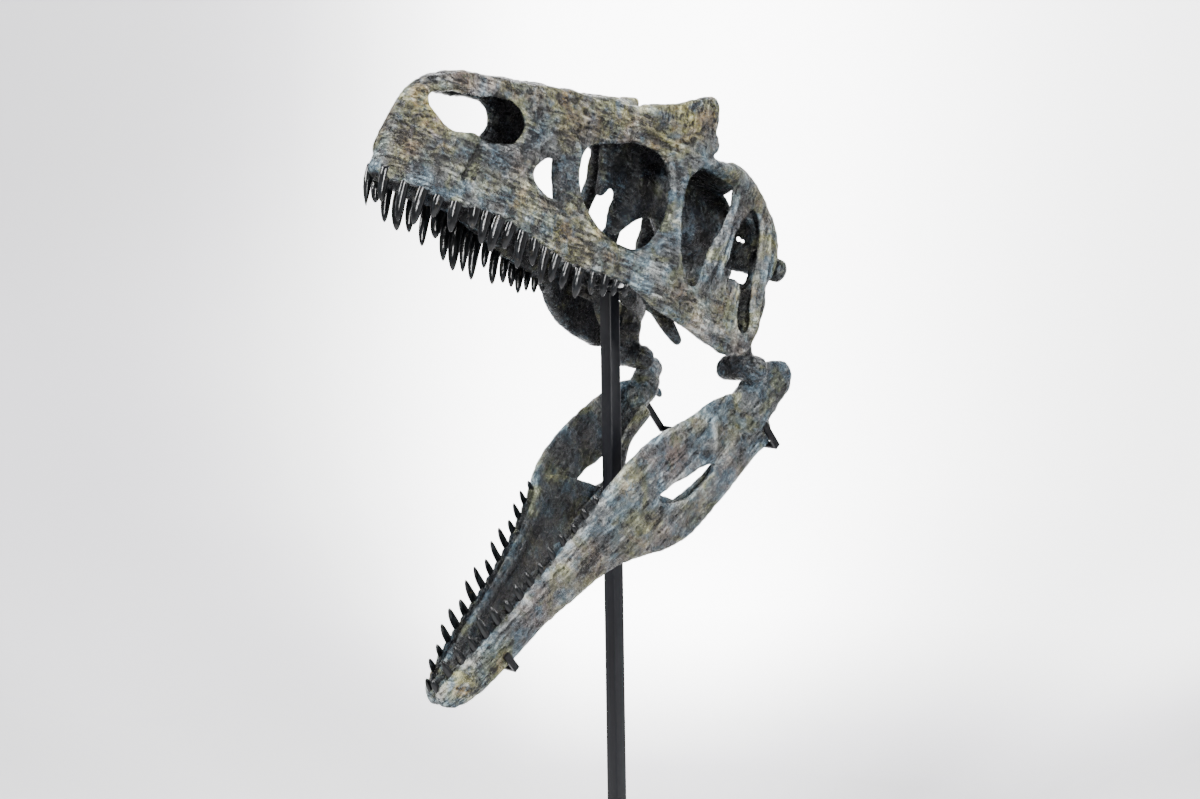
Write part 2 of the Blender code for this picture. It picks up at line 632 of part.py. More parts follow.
def lower_teeth(row, side):
    count, first, last, inside = row
    teeth = []
    for i in range(count):
        m = first + (last - first) * i / (count - 1)
        x = float(np.interp(m, JAW_M, JAW_X)) - inside
        n = float(jaw_edge(m))
        full = np.interp(m, LOWER_LENGTH_M, LOWER_LENGTHS[side])
        length = full * (1.0 - 0.25 * (math.sin(2.1 * i + 2.0 * side) > 0.5))
        width = np.interp(m, [0.33, 0.6, 0.73], [0.012, 0.016, 0.013])
        tip = (x - 0.002, -(m - 0.16 * length), n + length)
        teeth.append(tooth((x, -m, n - TOOTH_ROOT), tip, width, width * 0.62, (0, 0.18 * length, 0)))
    return joined(teeth)


def jaw_thickness(m, n):
    """Thick along the tooth row and at the chin, thin behind."""
    teeth = 0.012 * np.clip((m - 0.28) / 0.06, 0, 1) * np.clip((n + 0.005) / 0.03, 0, 1)
    chin = 0.014 * np.clip((m - 0.62) / 0.08, 0, 1)
    return 0.012 + np.maximum(teeth, chin)


def jaw_wall(outline, holes, inside=0.0, thickness=jaw_thickness):
    """A side of the jaw, bent to the jaw's half-width, that far inside the outer surface."""
    mesh = flat_sheet(outline, holes)
    m, n, across = coordinates(mesh).T
    depth = inside + (0.5 - across / SHEET) * thickness(m, n)
    low = np.clip(-n / 0.12, 0, 1)
    belly = 0.010 * low**2 * np.clip(1 - m / 0.5, 0, 1)
    step = 0.002
    slope = (np.interp(m + step, JAW_M, JAW_X) - np.interp(m - step, JAW_M, JAW_X)) / (2 * step)
    length = np.sqrt(1 + slope**2)
    x = np.interp(m, JAW_M, JAW_X) - belly - depth / length
    place_points(mesh, np.stack([x, -(m + depth * slope / length), n], axis=1))
    return mesh


def on_side(mesh, side):
    """A mesh modelled on the left, set on its own side (1 left, -1 right)."""
    return mesh if side == 1 else mirrored(mesh)


def cheek(outline, side):
    """The wall's outline, with the right cheek's lower edge hanging a little lower."""
    if side == 1:
        return outline
    return [
        (s, z - (z < 0.0) * CHEEK_DROP * math.exp(-(((s - CHEEK_S) / CHEEK_REACH) ** 2))) for s, z in outline
    ]


def left_of_midline(axes):
    return prism([(-0.3, -0.3), (1.0, -0.3), (1.0, 0.5), (-0.3, 0.5)], GAP / 2, 0.3, axes)


def cranium_axes(s, z, x):
    return (x, s, z)


def jaw_axes(m, n, x):
    return (x, -m, n)


def outer_cranium(side):
    """One side wall with its nasal roof and the thick places on them, as one body."""
    parts = [
        side_wall(cheek(WALL, side)),
        roof_sheet(NASAL_ROOF),
        # Body of the premaxilla, and its front column below the nostrils
        sweep([(0.012, 0.020, 0.050), (0.022, 0.050, 0.055), (0.028, 0.095, 0.050)],
              [0.014, 0.018, 0.014], [0.034, 0.036, 0.026]),
        sweep([(0.006, 0.036, 0.155), (0.007, 0.024, 0.115), (0.009, 0.014, 0.060)],
              [0.009, 0.011, 0.014], [0.012, 0.014, 0.014], (0, 1, 0)),
        # Wall of the sinus inside the maxillary fenestra
        sweep([(0.044, 0.312, 0.172), (0.041, 0.326, 0.130), (0.047, 0.345, 0.085), (0.062, 0.350, 0.050)],
              [0.007, 0.008, 0.008, 0.008], [0.014, 0.013, 0.016, 0.016], (0, 1, 0)),
        # Brow over the eye, and the bar behind it
        sweep([(0.094, 0.585, 0.236), (0.104, 0.625, 0.234), (0.109, 0.665, 0.231), (0.110, 0.715, 0.209)],
              [0.010, 0.013, 0.015, 0.011], [0.010, 0.013, 0.014, 0.012]),
        sweep([(0.109, 0.690, 0.223), (0.110, 0.735, 0.200), (0.111, 0.778, 0.158)],
              [0.011, 0.013, 0.012], [0.015, 0.017, 0.020]),
    ]
    whole = thinned(flared(remeshed(joined(parts), VOXEL, SMOOTH_STEPS)), OUTER_TRIANGLES)
    return combined(whole, left_of_midline(cranium_axes), "INTERSECT")


def flared_corners():
    """The suture corners of the side wall, moved as the wall's flare moves them."""
    return {name: (flare_point(half_width(s, z), s)[1], z) for name, (s, z) in S.items()}


def parted(mesh, bones, corners, axes):
    """The mesh cut along its sutures into the named bones."""
    pieces = {}
    for bone, names in bones.items():
        outline = inset([corners[name] for name in names.split()], GAP / 2)
        pieces[bone] = largest(combined(mesh.copy(), prism(outline, -0.25, 0.35, axes), "INTERSECT"))
    return pieces


def midline_skull():
    """The midline box of the cranium: skull roof, braincase, occiput and its side processes."""
    roof = roof_sheet(SKULL_ROOF)
    septum = flat_sheet(SEPTUM)
    s, z, across = coordinates(septum).T
    place_points(septum, np.stack([across, s, z], axis=1))
    parts = [
        roof,
        mirrored(roof),
        septum,
        # Braincase, its floor running down to the palate, and the ball that meets the neck
        sweep([(0, 0.585, 0.215), (0, 0.640, 0.180), (0, 0.700, 0.150), (0, 0.770, 0.135)],
              [0.018, 0.030, 0.040, 0.040], [0.036, 0.052, 0.060, 0.048]),
        sweep([(0, 0.725, 0.110), (0, 0.715, 0.050), (0, 0.690, 0.015), (0, 0.672, -0.002)],
              [0.030, 0.028, 0.032, 0.026], [0.034, 0.026, 0.018, 0.010], (0, 1, 0)),
        sweep([(0, 0.775, 0.110), (0, 0.800, 0.108)], [0.021, 0.021], [0.020, 0.020]),
    ]
    for side in (1, -1):
        # Crest across the back of the skull, and the process below it that reaches out to the side
        crest = [(0.01 * side, 0.762, 0.190), (0.055 * side, 0.772, 0.186), (0.100 * side, 0.786, 0.163)]
        parts.append(sweep(crest, [0.010, 0.009, 0.009], [0.030, 0.026, 0.024]))
        process = [(0.02 * side, 0.768, 0.135), (0.07 * side, 0.786, 0.125), (0.126 * side, 0.808, 0.112)]
        parts.append(sweep(process, [0.015, 0.011, 0.011], [0.030, 0.024, 0.022]))
    return thinned(flared(remeshed(joined(parts), VOXEL, SMOOTH_STEPS)), MIDLINE_TRIANGLES)


def quadrate():
    """Column from the squamosal to the jaw joint, with the broad condyle and the wing to the pterygoid."""
    parts = [
        sweep([(0.104, 0.770, 0.125), (0.108, 0.764, 0.060), (0.112, 0.764, 0.000), (0.118, 0.773, -0.060)],
              [0.013, 0.011, 0.014, 0.022], [0.014, 0.013, 0.016, 0.018], (0, 1, 0)),
        sweep([(0.088, 0.779, -0.070), (0.116, 0.781, -0.066), (0.146, 0.783, -0.068)],
              [0.021, 0.018, 0.021], [0.025, 0.024, 0.025]),
        sweep([(0.100, 0.750, 0.030), (0.078, 0.722, 0.028), (0.058, 0.696, 0.022)],
              [0.006, 0.005, 0.005], [0.048, 0.044, 0.026]),
    ]
    return thinned(flared(remeshed(joined(parts), VOXEL, 1)), QUADRATE_TRIANGLES)


def pterygoid():
    """Long bar of the palate, with the flange that hangs below it."""
    parts = [
        sweep([(0.060, 0.715, 0.012), (0.046, 0.672, 0.010), (0.038, 0.600, 0.024), (0.034, 0.545, 0.033),
               (0.024, 0.430, 0.036), (0.015, 0.330, 0.036)],
              [0.006, 0.010, 0.010, 0.008, 0.007, 0.005], [0.036, 0.022, 0.018, 0.016, 0.018, 0.014]),
        sweep([(0.046, 0.580, 0.016), (0.056, 0.606, -0.010), (0.064, 0.640, -0.038), (0.066, 0.667, -0.054)],
              [0.007, 0.007, 0.007, 0.006], [0.026, 0.022, 0.015, 0.010], (0, 1, 0.6)),
    ]
    return thinned(flared(remeshed(joined(parts), VOXEL, 1)), PTERYGOID_TRIANGLES)


def ectopterygoid():
    """Hooked strut from the pterygoid's flange out to the cheek."""
    path = [(0.066, 0.606, -0.006), (0.082, 0.588, 0.000), (0.100, 0.582, 0.000), (0.118, 0.600, -0.004)]
    strut = sweep(path, [0.010, 0.010, 0.009, 0.010], [0.014, 0.012, 0.011, 0.014])
    return thinned(flared(remeshed(strut, VOXEL, 1)), SMALL_TRIANGLES)


def palatine():
    """Forked plate between the pterygoid and the maxilla."""
    parts = [
        sweep([(0.030, 0.400, 0.036), (0.052, 0.395, 0.026), (0.076, 0.405, 0.018)],
              [0.024, 0.016, 0.026], [0.006, 0.006, 0.008]),
        sweep([(0.030, 0.470, 0.034), (0.052, 0.480, 0.022), (0.086, 0.485, 0.010)],
              [0.014, 0.010, 0.016], [0.007, 0.006, 0.008]),
        sweep([(0.032, 0.395, 0.037), (0.031, 0.470, 0.036)], [0.008, 0.008], [0.014, 0.008]),
    ]
    return thinned(flared(remeshed(joined(parts), VOXEL, 1)), SMALL_TRIANGLES)


def vomer():
    """Midline bar of the palate, from the snout back to between the pterygoids."""
    path = [(0, 0.070, 0.044), (0, 0.150, 0.046), (0, 0.260, 0.044), (0, 0.360, 0.046)]
    bar = sweep(path, [0.016, 0.010, 0.009, 0.010], [0.008, 0.010, 0.012, 0.010])
    return thinned(remeshed(bar, VOXEL, 1), SMALL_TRIANGLES)


def outer_jaw(side):
    """One outer wall of the jaw, without its joint block."""
    outline = list(JAW)
    if side == -1:
        rear = [point for point in JAW if point[0] < JAW_REAR_M and point[1] < -0.1]
        start = outline.index(rear[0])
        outline[start : start + len(rear)] = RIGHT_JAW_REAR
    whole = thinned(remeshed(jaw_wall(outline, [JAW_FENESTRA]), VOXEL, SMOOTH_STEPS), JAW_TRIANGLES)
    return combined(whole, left_of_midline(jaw_axes), "INTERSECT")


def articular(side):
    """The jaw's joint block and the process behind it; the right one is smaller."""
    size = ARTICULAR_SIZE[side]
    path = [(0.116, 0.030, -0.050), (0.120, 0.000, -0.052), (0.128, -0.045, -0.046), (0.134, -0.088, -0.060)]
    path = [(x, m if m > 0 else m * size, n * size) for x, m, n in path]
    bar = sweep(forward(path), [0.024, 0.026, 0.020, 0.013],
                [size * tall for tall in (0.044, 0.048, 0.048, 0.030)])
    return thinned(remeshed(bar, VOXEL, 1), ARTICULAR_TRIANGLES)


def splenial():
    """The plate that covers the inner side of the dentary."""
    sheet = jaw_wall(SPLENIAL, [], SPLENIAL_INSIDE, lambda m, n: SPLENIAL_THICK)
    return thinned(remeshed(sheet, VOXEL / 2, 1), SPLENIAL_TRIANGLES)


def prearticular(side):
    """The long bar along the jaw's inner side, behind the splenial."""
    size = ARTICULAR_SIZE[side]
    path = [(0.096, 0.040, -0.080 * size), (0.098, 0.112, -0.094 * size), (0.090, 0.183, -0.090),
            (0.080, 0.243, -0.078), (0.073, 0.293, -0.060)]
    bar = sweep(forward(path), [0.006, 0.005, 0.005, 0.005, 0.004],
                [0.030 * size, 0.021 * size, 0.022, 0.022, 0.016])
    return thinned(remeshed(bar, VOXEL, 1), SMALL_TRIANGLES)


def cradle(neighbours):
    """The rail inside one side of the jaw and the two clips that grip its lower edge."""
    path = [(0.076, 0.004, -0.127), (0.080, 0.110, -0.127), (0.070, 0.262, -0.086),
            (0.044, 0.380, -0.047), (0.029, 0.520, -0.026), (0.020, 0.616, -0.023)]
    whole = sweep(forward(path), [RAIL_RADIUS] * 6, [RAIL_RADIUS] * 6, samples=2, sides=6)
    for clip in CLIPS:
        inner, outer, low, high = (clip[key] for key in ("inner", "outer", "low", "high"))
        wall = CLIP_STEEL
        profile = [
            (inner, low), (outer, low), (outer, high), (outer - wall, high), (outer - wall, low + wall),
            (inner + wall, low + wall), (inner + wall, low + 3 * wall), (inner, low + 3 * wall),
        ]
        start = -clip["m"] - CLIP_WIDTH / 2
        hook = prism(profile, start, start + CLIP_WIDTH, lambda x, n, y: (x, y, n))
        whole = combined(whole, hook, "UNION")
    return fitted(whole, neighbours)


def world_mesh(mesh, matrix):
    copy = mesh.copy()
    copy.transform(matrix)
    return copy


def rounded_box(size, centre, radius):
    obj = linked(box(size, centre))
    bevel = obj.modifiers.new("edges", "BEVEL")
    bevel.width = radius
    bevel.segments = 1
    return baked(obj)


def put(name, mesh, material, frame):
    mesh.materials.clear()
    mesh.materials.append(material)
    mesh.name = name
    obj = linked(mesh, name)
    obj.parent = frame
    return obj


def frame_empty(name, matrix):
    empty = bpy.data.objects.new(name, None)
    bpy.context.scene.collection.objects.link(empty)
    empty.matrix_world = matrix
    return empty


def build_cranium(frame, bone):
    """Every bone of the cranium; returns the meshes that others are fitted to."""
    outer = {side: outer_cranium(side) for side in SIDES}
    midline = fitted(midline_skull(), [on_side(outer[side], side) for side in SIDES])
    for name, mesh in parted(midline, MIDLINE_BONES, S, cranium_axes).items():
        if name != "frontal":
            put(name, mesh, bone["dark"], frame)
            continue
        for side, suffix in SIDES.items():
            half = combined(mesh.copy(), on_side(left_of_midline(cranium_axes), side), "INTERSECT")
            put(f"{name}_{suffix}", largest(half), bone["mid"], frame)

    joint = {}
    palate = []
    saddle = world_mesh(saddle_plate(), cranium_place().inverted())
    for side, suffix in SIDES.items():
        wall = outer[side]
        joint[side] = fitted(quadrate(), [wall, midline])
        inner = {"quadrate": joint[side]}
        inner["pterygoid"] = fitted(pterygoid(), [wall, midline, joint[side], saddle])
        inner["ectopterygoid"] = fitted(ectopterygoid(), [wall, inner["pterygoid"]])
        inner["palatine"] = fitted(palatine(), [wall, inner["pterygoid"]])
        palate += [on_side(inner["pterygoid"], side), on_side(wall, side)]
        for name, mesh in parted(wall, WALL_BONES, flared_corners(), cranium_axes).items():
            if name in UPPER_TEETH:
                mesh = combined(mesh, upper_teeth(UPPER_TEETH[name], side), "UNION")
            shade = "ochre" if name in ("nasal", "lacrimal", "postorbital") else "mid"
            put(f"{name}_{suffix}", on_side(mesh, side), bone[shade], frame)
        for name, mesh in inner.items():
            put(f"{name}_{suffix}", on_side(mesh.copy(), side), bone["dark"], frame)
    put("vomer", fitted(vomer(), palate), bone["dark"], frame)
    return joint


def build_jaw(frame, bone, steel, joint):
    """Every bone of the lower jaw, and the steel that holds it."""
    to_jaw = jaw_place().inverted() @ cranium_place()
    crossbar = world_mesh(crossbar_bar(), jaw_place().inverted())
    for side, suffix in SIDES.items():
        condyle = world_mesh(joint[side], to_jaw)
        wall = fitted(outer_jaw(side), [condyle])
        hinge = fitted(articular(side), [wall, condyle])
        inner = fitted(prearticular(side), [wall, hinge])
        plate = fitted(splenial(), [wall, inner])
        for name, mesh in parted(wall, JAW_BONES, J, jaw_axes).items():
            if name == "dentary":
                mesh = combined(mesh, lower_teeth(DENTARY_TEETH, side), "UNION")
            put(f"{name}_{suffix}", on_side(mesh, side), bone["pale" if name == "dentary" else "mid"], frame)
        put(f"articular_{suffix}", on_side(hinge.copy(), side), bone["mid"], frame)
        put(f"prearticular_{suffix}", on_side(inner.copy(), side), bone["dark"], frame)
        put(f"splenial_{suffix}", on_side(plate.copy(), side), bone["dark"], frame)
        rail = cradle([wall, hinge, inner, plate, crossbar])
        put(f"stand_cradle_{suffix}", on_side(rail, side), steel, frame)


def saddle_plate():
    """Plate on the post's top, under the two pterygoids."""
    return rounded_box(SADDLE_SIZE, (0, SADDLE_Y, POST_TOP + GAP + SADDLE_SIZE[2] / 2), 0.001)


def crossbar_bar():
    """Bar behind the post, between the two rails inside the jaw."""
    size = (2 * CROSSBAR_HALF, CROSSBAR_SIDE, CROSSBAR_SIDE)
    return rounded_box(size, (0, POST_SIDE / 2 + GAP + CROSSBAR_SIDE / 2, CROSSBAR_Z), 0.001)


def build_stand(steel):
    base = rounded_box((BASE_SIDE, BASE_SIDE, BASE_THICK), (0, 0, BASE_THICK / 2), EDGE_RADIUS)
    put("stand_base", base, steel, None)
    height = POST_TOP - BASE_THICK - GAP
    post = rounded_box((POST_SIDE, POST_SIDE, height), (0, 0, POST_TOP - height / 2), EDGE_RADIUS)
    put("stand_post", post, steel, None)
    put("stand_saddle", saddle_plate(), steel, None)
    put("stand_crossbar", crossbar_bar(), steel, None)


def main():
    clear_scene()
    bone = {name: principled(name, colour, 0.7, 0.0) for name, colour in BONE_COLOURS.items()}
    steel = principled("steel", STEEL_COLOUR, 0.4, 0.9)
    joint = build_cranium(frame_empty("skull_frame", cranium_place()), bone)
    build_jaw(frame_empty("jaw_frame", jaw_place()), bone, steel, joint)
    build_stand(steel)


main()
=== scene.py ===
"""Looks of a mounted Allosaurus skull: finely worn bones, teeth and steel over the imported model.

Metres, +Z up; the tables are in millimetres. The snout points to -Y and the animal's left is +X.
The post stands on the Z axis.
Cranium points are (x, s, z): half-width, distance back from the snout tip, height over the tooth row.
Jaw points are (x, m, n): half-width, distance forward of the jaw joint, height over the joint's axis.
"""

import itertools
import math

import bmesh
import bpy
import numpy as np
from mathutils import Matrix, Vector


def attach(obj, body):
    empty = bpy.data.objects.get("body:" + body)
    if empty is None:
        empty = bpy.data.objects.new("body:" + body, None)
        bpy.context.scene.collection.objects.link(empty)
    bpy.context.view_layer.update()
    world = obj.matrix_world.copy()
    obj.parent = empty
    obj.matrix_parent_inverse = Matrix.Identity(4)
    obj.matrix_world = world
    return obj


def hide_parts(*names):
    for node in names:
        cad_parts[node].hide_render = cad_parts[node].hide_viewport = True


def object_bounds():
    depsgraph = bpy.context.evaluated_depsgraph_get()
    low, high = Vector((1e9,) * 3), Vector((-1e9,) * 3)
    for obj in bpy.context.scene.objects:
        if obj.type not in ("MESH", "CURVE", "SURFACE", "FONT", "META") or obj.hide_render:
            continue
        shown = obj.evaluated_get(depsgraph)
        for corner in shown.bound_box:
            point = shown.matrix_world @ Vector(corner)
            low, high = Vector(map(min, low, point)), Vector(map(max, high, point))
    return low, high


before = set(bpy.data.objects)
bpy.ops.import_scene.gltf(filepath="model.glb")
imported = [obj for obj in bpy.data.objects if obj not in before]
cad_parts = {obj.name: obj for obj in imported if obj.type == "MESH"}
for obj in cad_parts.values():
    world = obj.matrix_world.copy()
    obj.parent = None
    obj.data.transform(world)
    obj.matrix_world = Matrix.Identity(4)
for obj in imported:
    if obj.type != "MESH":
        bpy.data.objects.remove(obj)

CAD_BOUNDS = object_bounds()


def metres(table):
    """Millimetres in metres: one value, or all the values of a list, tuple or dictionary."""
    if isinstance(table, dict):
        return {name: metres(value) for name, value in table.items()}
    if isinstance(table, (list, tuple)):
        return type(table)(metres(value) for value in table)
    return table / 1000


# Pose
JOINT_Y = 0.186
JOINT_Z = 1.213
NOSE_UP = math.radians(21.5)
JAW_DOWN = math.radians(38.0)
JOINT_S = 0.781
JOINT_H = -0.095

# Sides of the animal; the right one's cheek hangs lower and its jaw is shallower behind
SIDES = {1: "left", -1: "right"}
CHEEK_DROP = 0.025
CHEEK_S = 0.600
CHEEK_REACH = 0.130
JAW_REAR_M = 0.225
RIGHT_JAW_REAR = metres([(212, -118), (166, -101), (123, -89), (71, -74), (32, -62), (-9, -61)])
ARTICULAR_SIZE = {1: 1.0, -1: 0.62}

# Bone
GAP = 0.0004
VOXEL = 0.0035
SHEET = 0.012
FINE = 0.0018
FILLET_STEPS = 26
SLOPE_STEP = 0.002
CUT_GAP = 0.0003
SWEEP_STEPS = 4
SWEEP_SIDES = 12
LENGTHWAYS = (0, 1, 0)
# Larger than any distance that is searched for
FAR = 9.0

# Steel
POST_SIDE = 0.025
POST_TOP = 1.386
BASE_THICK = 0.012
SADDLE_SIZE = (0.072, 0.068, 0.006)
SADDLE_Y = 0.0215

# Outlines of the left side wall of the cranium, as (s, z)
WALL = metres([
    (-6, 22), (60, 17), (127, 14), (204, 20), (288, 7), (375, -6), (460, -5), (510, -10), (545, -26),
    (605, -40), (665, -52), (725, -61), (756, -50), (776, -15), (784, 40), (780, 78), (793, 105),
    (795, 135), (778, 178), (745, 208), (716, 227), (691, 243), (657, 251), (628, 250), (607, 246),
    (615, 268), (604, 292), (599, 320), (586, 346), (551, 333), (515, 313), (486, 294), (459, 277),
    (400, 272), (329, 266), (244, 248), (173, 231), (103, 215), (59, 192), (36, 168), (14, 140),
    (0, 105), (-7, 60),
])
NARIS = metres([
    (49, 158), (66, 171), (134, 187), (178, 200), (208, 200), (226, 188), (231, 165), (220, 144),
    (192, 130), (164, 122), (138, 128), (98, 118), (66, 132),
])
MAXILLARY_FENESTRA = metres([
    (299, 143), (326, 125), (330, 103), (318, 85), (290, 88), (268, 106), (277, 130),
])
ANTORBITAL_FENESTRA = metres([
    (370, 187), (357, 140), (366, 109), (384, 89), (425, 64), (464, 53), (498, 60), (519, 86),
    (534, 116), (538, 150), (529, 197), (508, 222), (476, 229), (437, 217), (395, 200),
])
ORBIT = metres([
    (566, 200), (598, 229), (630, 237), (656, 226), (664, 200), (655, 146), (640, 113), (628, 64),
    (618, 29), (600, 28), (583, 50), (570, 85), (563, 140),
])
TEMPORAL_FENESTRA = metres([
    (702, 180), (715, 193), (738, 165), (745, 130), (745, 85), (750, 30), (756, -5), (735, -14),
    (717, 24), (709, 62), (672, 68), (676, 100), (681, 141),
])

# Half-width of the cranium's outer surface along s, at the tooth row and at the top of the wall
LOW_S = metres([-8, 2, 12, 26, 51, 76, 126, 226, 326, 426, 506, 626, 726, 800])
LOW_X = metres([0, 18, 28, 36, 47, 53, 61, 72, 82, 94, 105, 125, 138, 138])
TOP_S = metres([-8, 46, 76, 126, 226, 326, 426, 476, 526, 576, 626, 676, 800])
TOP_X = metres([0, 20, 30, 36, 41, 47, 52, 62, 82, 98, 108, 118, 122])
TOP_Z_S = metres([-8, 20, 70, 120, 326, 526, 820])
TOP_Z = metres([120, 150, 190, 210, 250, 260, 220])

# Behind the snout each side is drawn outwards and forwards, by these shares of its half-width
FLARE_START = 0.35
FLARE_END = 0.58
FLARE_OUT = 0.15
FLARE_FORWARD = 0.155

# Height of the roof over the midline along s
ROOF_S = metres([0, 30, 60, 100, 170, 240, 330, 400, 460, 520, 600, 650, 700, 750, 790])
ROOF_Z = metres([110, 166, 194, 217, 234, 251, 270, 276, 274, 265, 247, 236, 222, 204, 186])
ROOF_THICK = 0.012
# Plan outlines of the roof, as (s, x): the nasals, then the frontals and parietals
NASAL_ROOF = metres([
    (30, -20), (34, 10), (60, 21), (100, 30), (150, 35), (250, 40), (350, 46), (430, 50), (480, 58),
    (512, 62), (508, 20), (500, -20),
])
SKULL_ROOF = metres([
    (500, -20), (508, 20), (512, 62), (545, 76), (600, 88), (640, 102), (670, 100), (688, 78), (704, 52),
    (724, 38), (748, 42), (764, 75), (776, 106), (790, 106), (786, 60), (778, 30), (776, -20),
])

# Plate of bone on the midline between the eyes, as (s, z)
SEPTUM = metres([
    (452, 262), (455, 165), (464, 134), (493, 156), (496, 125), (504, 89), (520, 85), (543, 105),
    (575, 132), (620, 150), (640, 200), (600, 240),
])

# The jaw: outline as (m, n)
JAW = metres([
    (18, 2), (68, 30), (131, 45), (181, 65), (241, 73), (289, 72), (334, 60), (392, 50), (461, 41),
    (552, 37), (635, 38), (698, 36), (731, 32), (744, 16), (736, -7), (710, -21), (645, -26), (578, -28),
    (516, -32), (465, -41), (402, -51), (358, -64), (317, -92), (276, -117), (237, -131), (200, -137),
    (114, -133), (37, -132), (-11, -130), (-21, -82), (-13, -31),
])
JAW_FENESTRA = metres([
    (248, -26), (222, -23), (184, -37), (145, -50), (125, -61), (144, -78), (175, -77), (199, -73),
    (224, -58), (242, -40),
])
# Plate on the inner side of the jaw's front half, as (m, n), and where it lies inside the outer surface
SPLENIAL = metres([
    (306, 58), (333, 43), (384, 25), (465, 19), (565, 17), (633, 15), (662, 0), (640, -20), (590, -23),
    (530, -27), (479, -36), (414, -47), (354, -68), (293, -94), (243, -100), (208, -86), (221, -50),
    (239, -20), (257, 11), (281, 40),
])
SPLENIAL_INSIDE = 0.013
SPLENIAL_THICK = 0.005
# The jaw's half-width along m
JAW_M = metres([-120, 0, 100, 200, 300, 360, 420, 500, 580, 660, 700, 735, 755])
JAW_X = metres([130, 132, 125, 110, 98, 85, 72, 60, 52, 41, 31, 19, 11])

# Suture corners on the cranium's side wall, as (s, z); capitals are inside an opening or off the bone
S = metres({
    "FRONT_LOW": (-100, -150), "FRONT_HIGH": (-100, 450), "TOOTH_LOW": (150, -150), "tooth": (153, 30),
    "subnarial": (186, 100), "NARIS_REAR": (196, 160), "NARIS_FRONT": (90, 150), "nasal_tip": (86, 195),
    "NASAL_HIGH": (76, 450), "naris_rear": (240, 176), "nasal_mid": (305, 214),
    "lacrimal_tip": (385, 236), "ANT_FRONT": (420, 190), "nasal_rear": (452, 248),
    "horn_front": (480, 276), "HORN_HIGH": (470, 450), "ANT_MID": (470, 120), "ANT_REAR": (500, 75),
    "jugal_tip": (508, 45), "jugal_low": (522, -12), "JUGAL_OUT": (500, -150),
    "lacrimal_foot": (548, 22), "orbit_low": (582, 30), "ORBIT_LOW": (607, 60), "ORBIT_MID": (605, 130),
    "ORBIT_TOP": (605, 205), "horn_rear": (606, 246), "HORN_OUT": (640, 450), "orbit_rear": (640, 88),
    "temporal_low": (674, 74), "TEMP_MID": (698, 85), "TEMP_HIGH": (708, 160), "post_top": (716, 205),
    "POST_HIGH": (712, 450), "REAR_HIGH": (950, 450), "REAR_MID": (950, 100),
    "quadratojugal_top": (760, 92), "TEMP_REAR": (722, 115), "TEMP_LOW": (735, 5),
    "jugal_rear": (716, -22), "JUGAL_LOW": (700, -150), "REAR_LOW": (950, -150),
    "FRONTAL_OUT": (350, 300), "FRONTAL_LOW": (350, 215), "BRAIN_OUT": (350, -150),
    "roof_floor": (648, 205), "parietal_rear": (770, 172), "PARIETAL_OUT": (950, 150),
    "ROOF_HIGH": (655, 450), "FRONTAL_HIGH": (350, 450),
})
WALL_BONES = {
    "premaxilla": "FRONT_LOW TOOTH_LOW tooth subnarial NARIS_REAR NARIS_FRONT nasal_tip NASAL_HIGH "
    "FRONT_HIGH",
    "maxilla": "TOOTH_LOW JUGAL_OUT jugal_low jugal_tip ANT_REAR ANT_MID ANT_FRONT lacrimal_tip nasal_mid "
    "naris_rear NARIS_REAR subnarial tooth",
    "nasal": "NARIS_FRONT NARIS_REAR naris_rear nasal_mid lacrimal_tip nasal_rear horn_front HORN_HIGH "
    "NASAL_HIGH nasal_tip",
    "lacrimal": "ANT_FRONT ANT_MID ANT_REAR jugal_tip lacrimal_foot orbit_low ORBIT_LOW ORBIT_MID "
    "ORBIT_TOP horn_rear HORN_OUT HORN_HIGH horn_front nasal_rear lacrimal_tip",
    "jugal": "JUGAL_OUT JUGAL_LOW jugal_rear TEMP_LOW TEMP_MID temporal_low orbit_rear ORBIT_LOW "
    "orbit_low lacrimal_foot jugal_tip jugal_low",
    "postorbital": "ORBIT_LOW orbit_rear temporal_low TEMP_MID TEMP_HIGH post_top POST_HIGH HORN_OUT "
    "horn_rear ORBIT_TOP ORBIT_MID",
    "squamosal": "TEMP_HIGH TEMP_REAR quadratojugal_top REAR_MID REAR_HIGH POST_HIGH post_top",
    "quadratojugal": "JUGAL_LOW REAR_LOW REAR_MID quadratojugal_top TEMP_REAR TEMP_MID TEMP_LOW jugal_rear",
}
MIDLINE_BONES = {
    "frontal": "FRONTAL_OUT FRONTAL_LOW roof_floor ROOF_HIGH FRONTAL_HIGH",
    "parietal": "ROOF_HIGH roof_floor parietal_rear PARIETAL_OUT REAR_HIGH",
    "braincase": "FRONTAL_LOW BRAIN_OUT REAR_LOW PARIETAL_OUT parietal_rear roof_floor",
}
J = metres({
    "TIP_HIGH": (900, 200), "TIP_LOW": (900, -200), "DENTARY_HIGH": (310, 200), "dentary_top": (296, 52),
    "dentary_mid": (284, 7), "FEN_FRONT": (229, -36), "dentary_low": (262, -68),
    "ANGULAR_OUT": (330, -200), "FEN_REAR": (155, -65), "angular_mid": (67, -62),
    "angular_rear": (-6, -80), "REAR_LOW": (-200, -200), "REAR_MID": (-200, -85),
    "REAR_HIGH": (-200, 200),
})
JAW_BONES = {
    "dentary": "TIP_HIGH DENTARY_HIGH dentary_top dentary_mid FEN_FRONT dentary_low ANGULAR_OUT TIP_LOW",
    "surangular": "DENTARY_HIGH REAR_HIGH REAR_MID angular_rear angular_mid FEN_REAR FEN_FRONT dentary_mid "
    "dentary_top",
    "angular": "ANGULAR_OUT dentary_low FEN_FRONT FEN_REAR angular_mid angular_rear REAR_MID REAR_LOW",
}

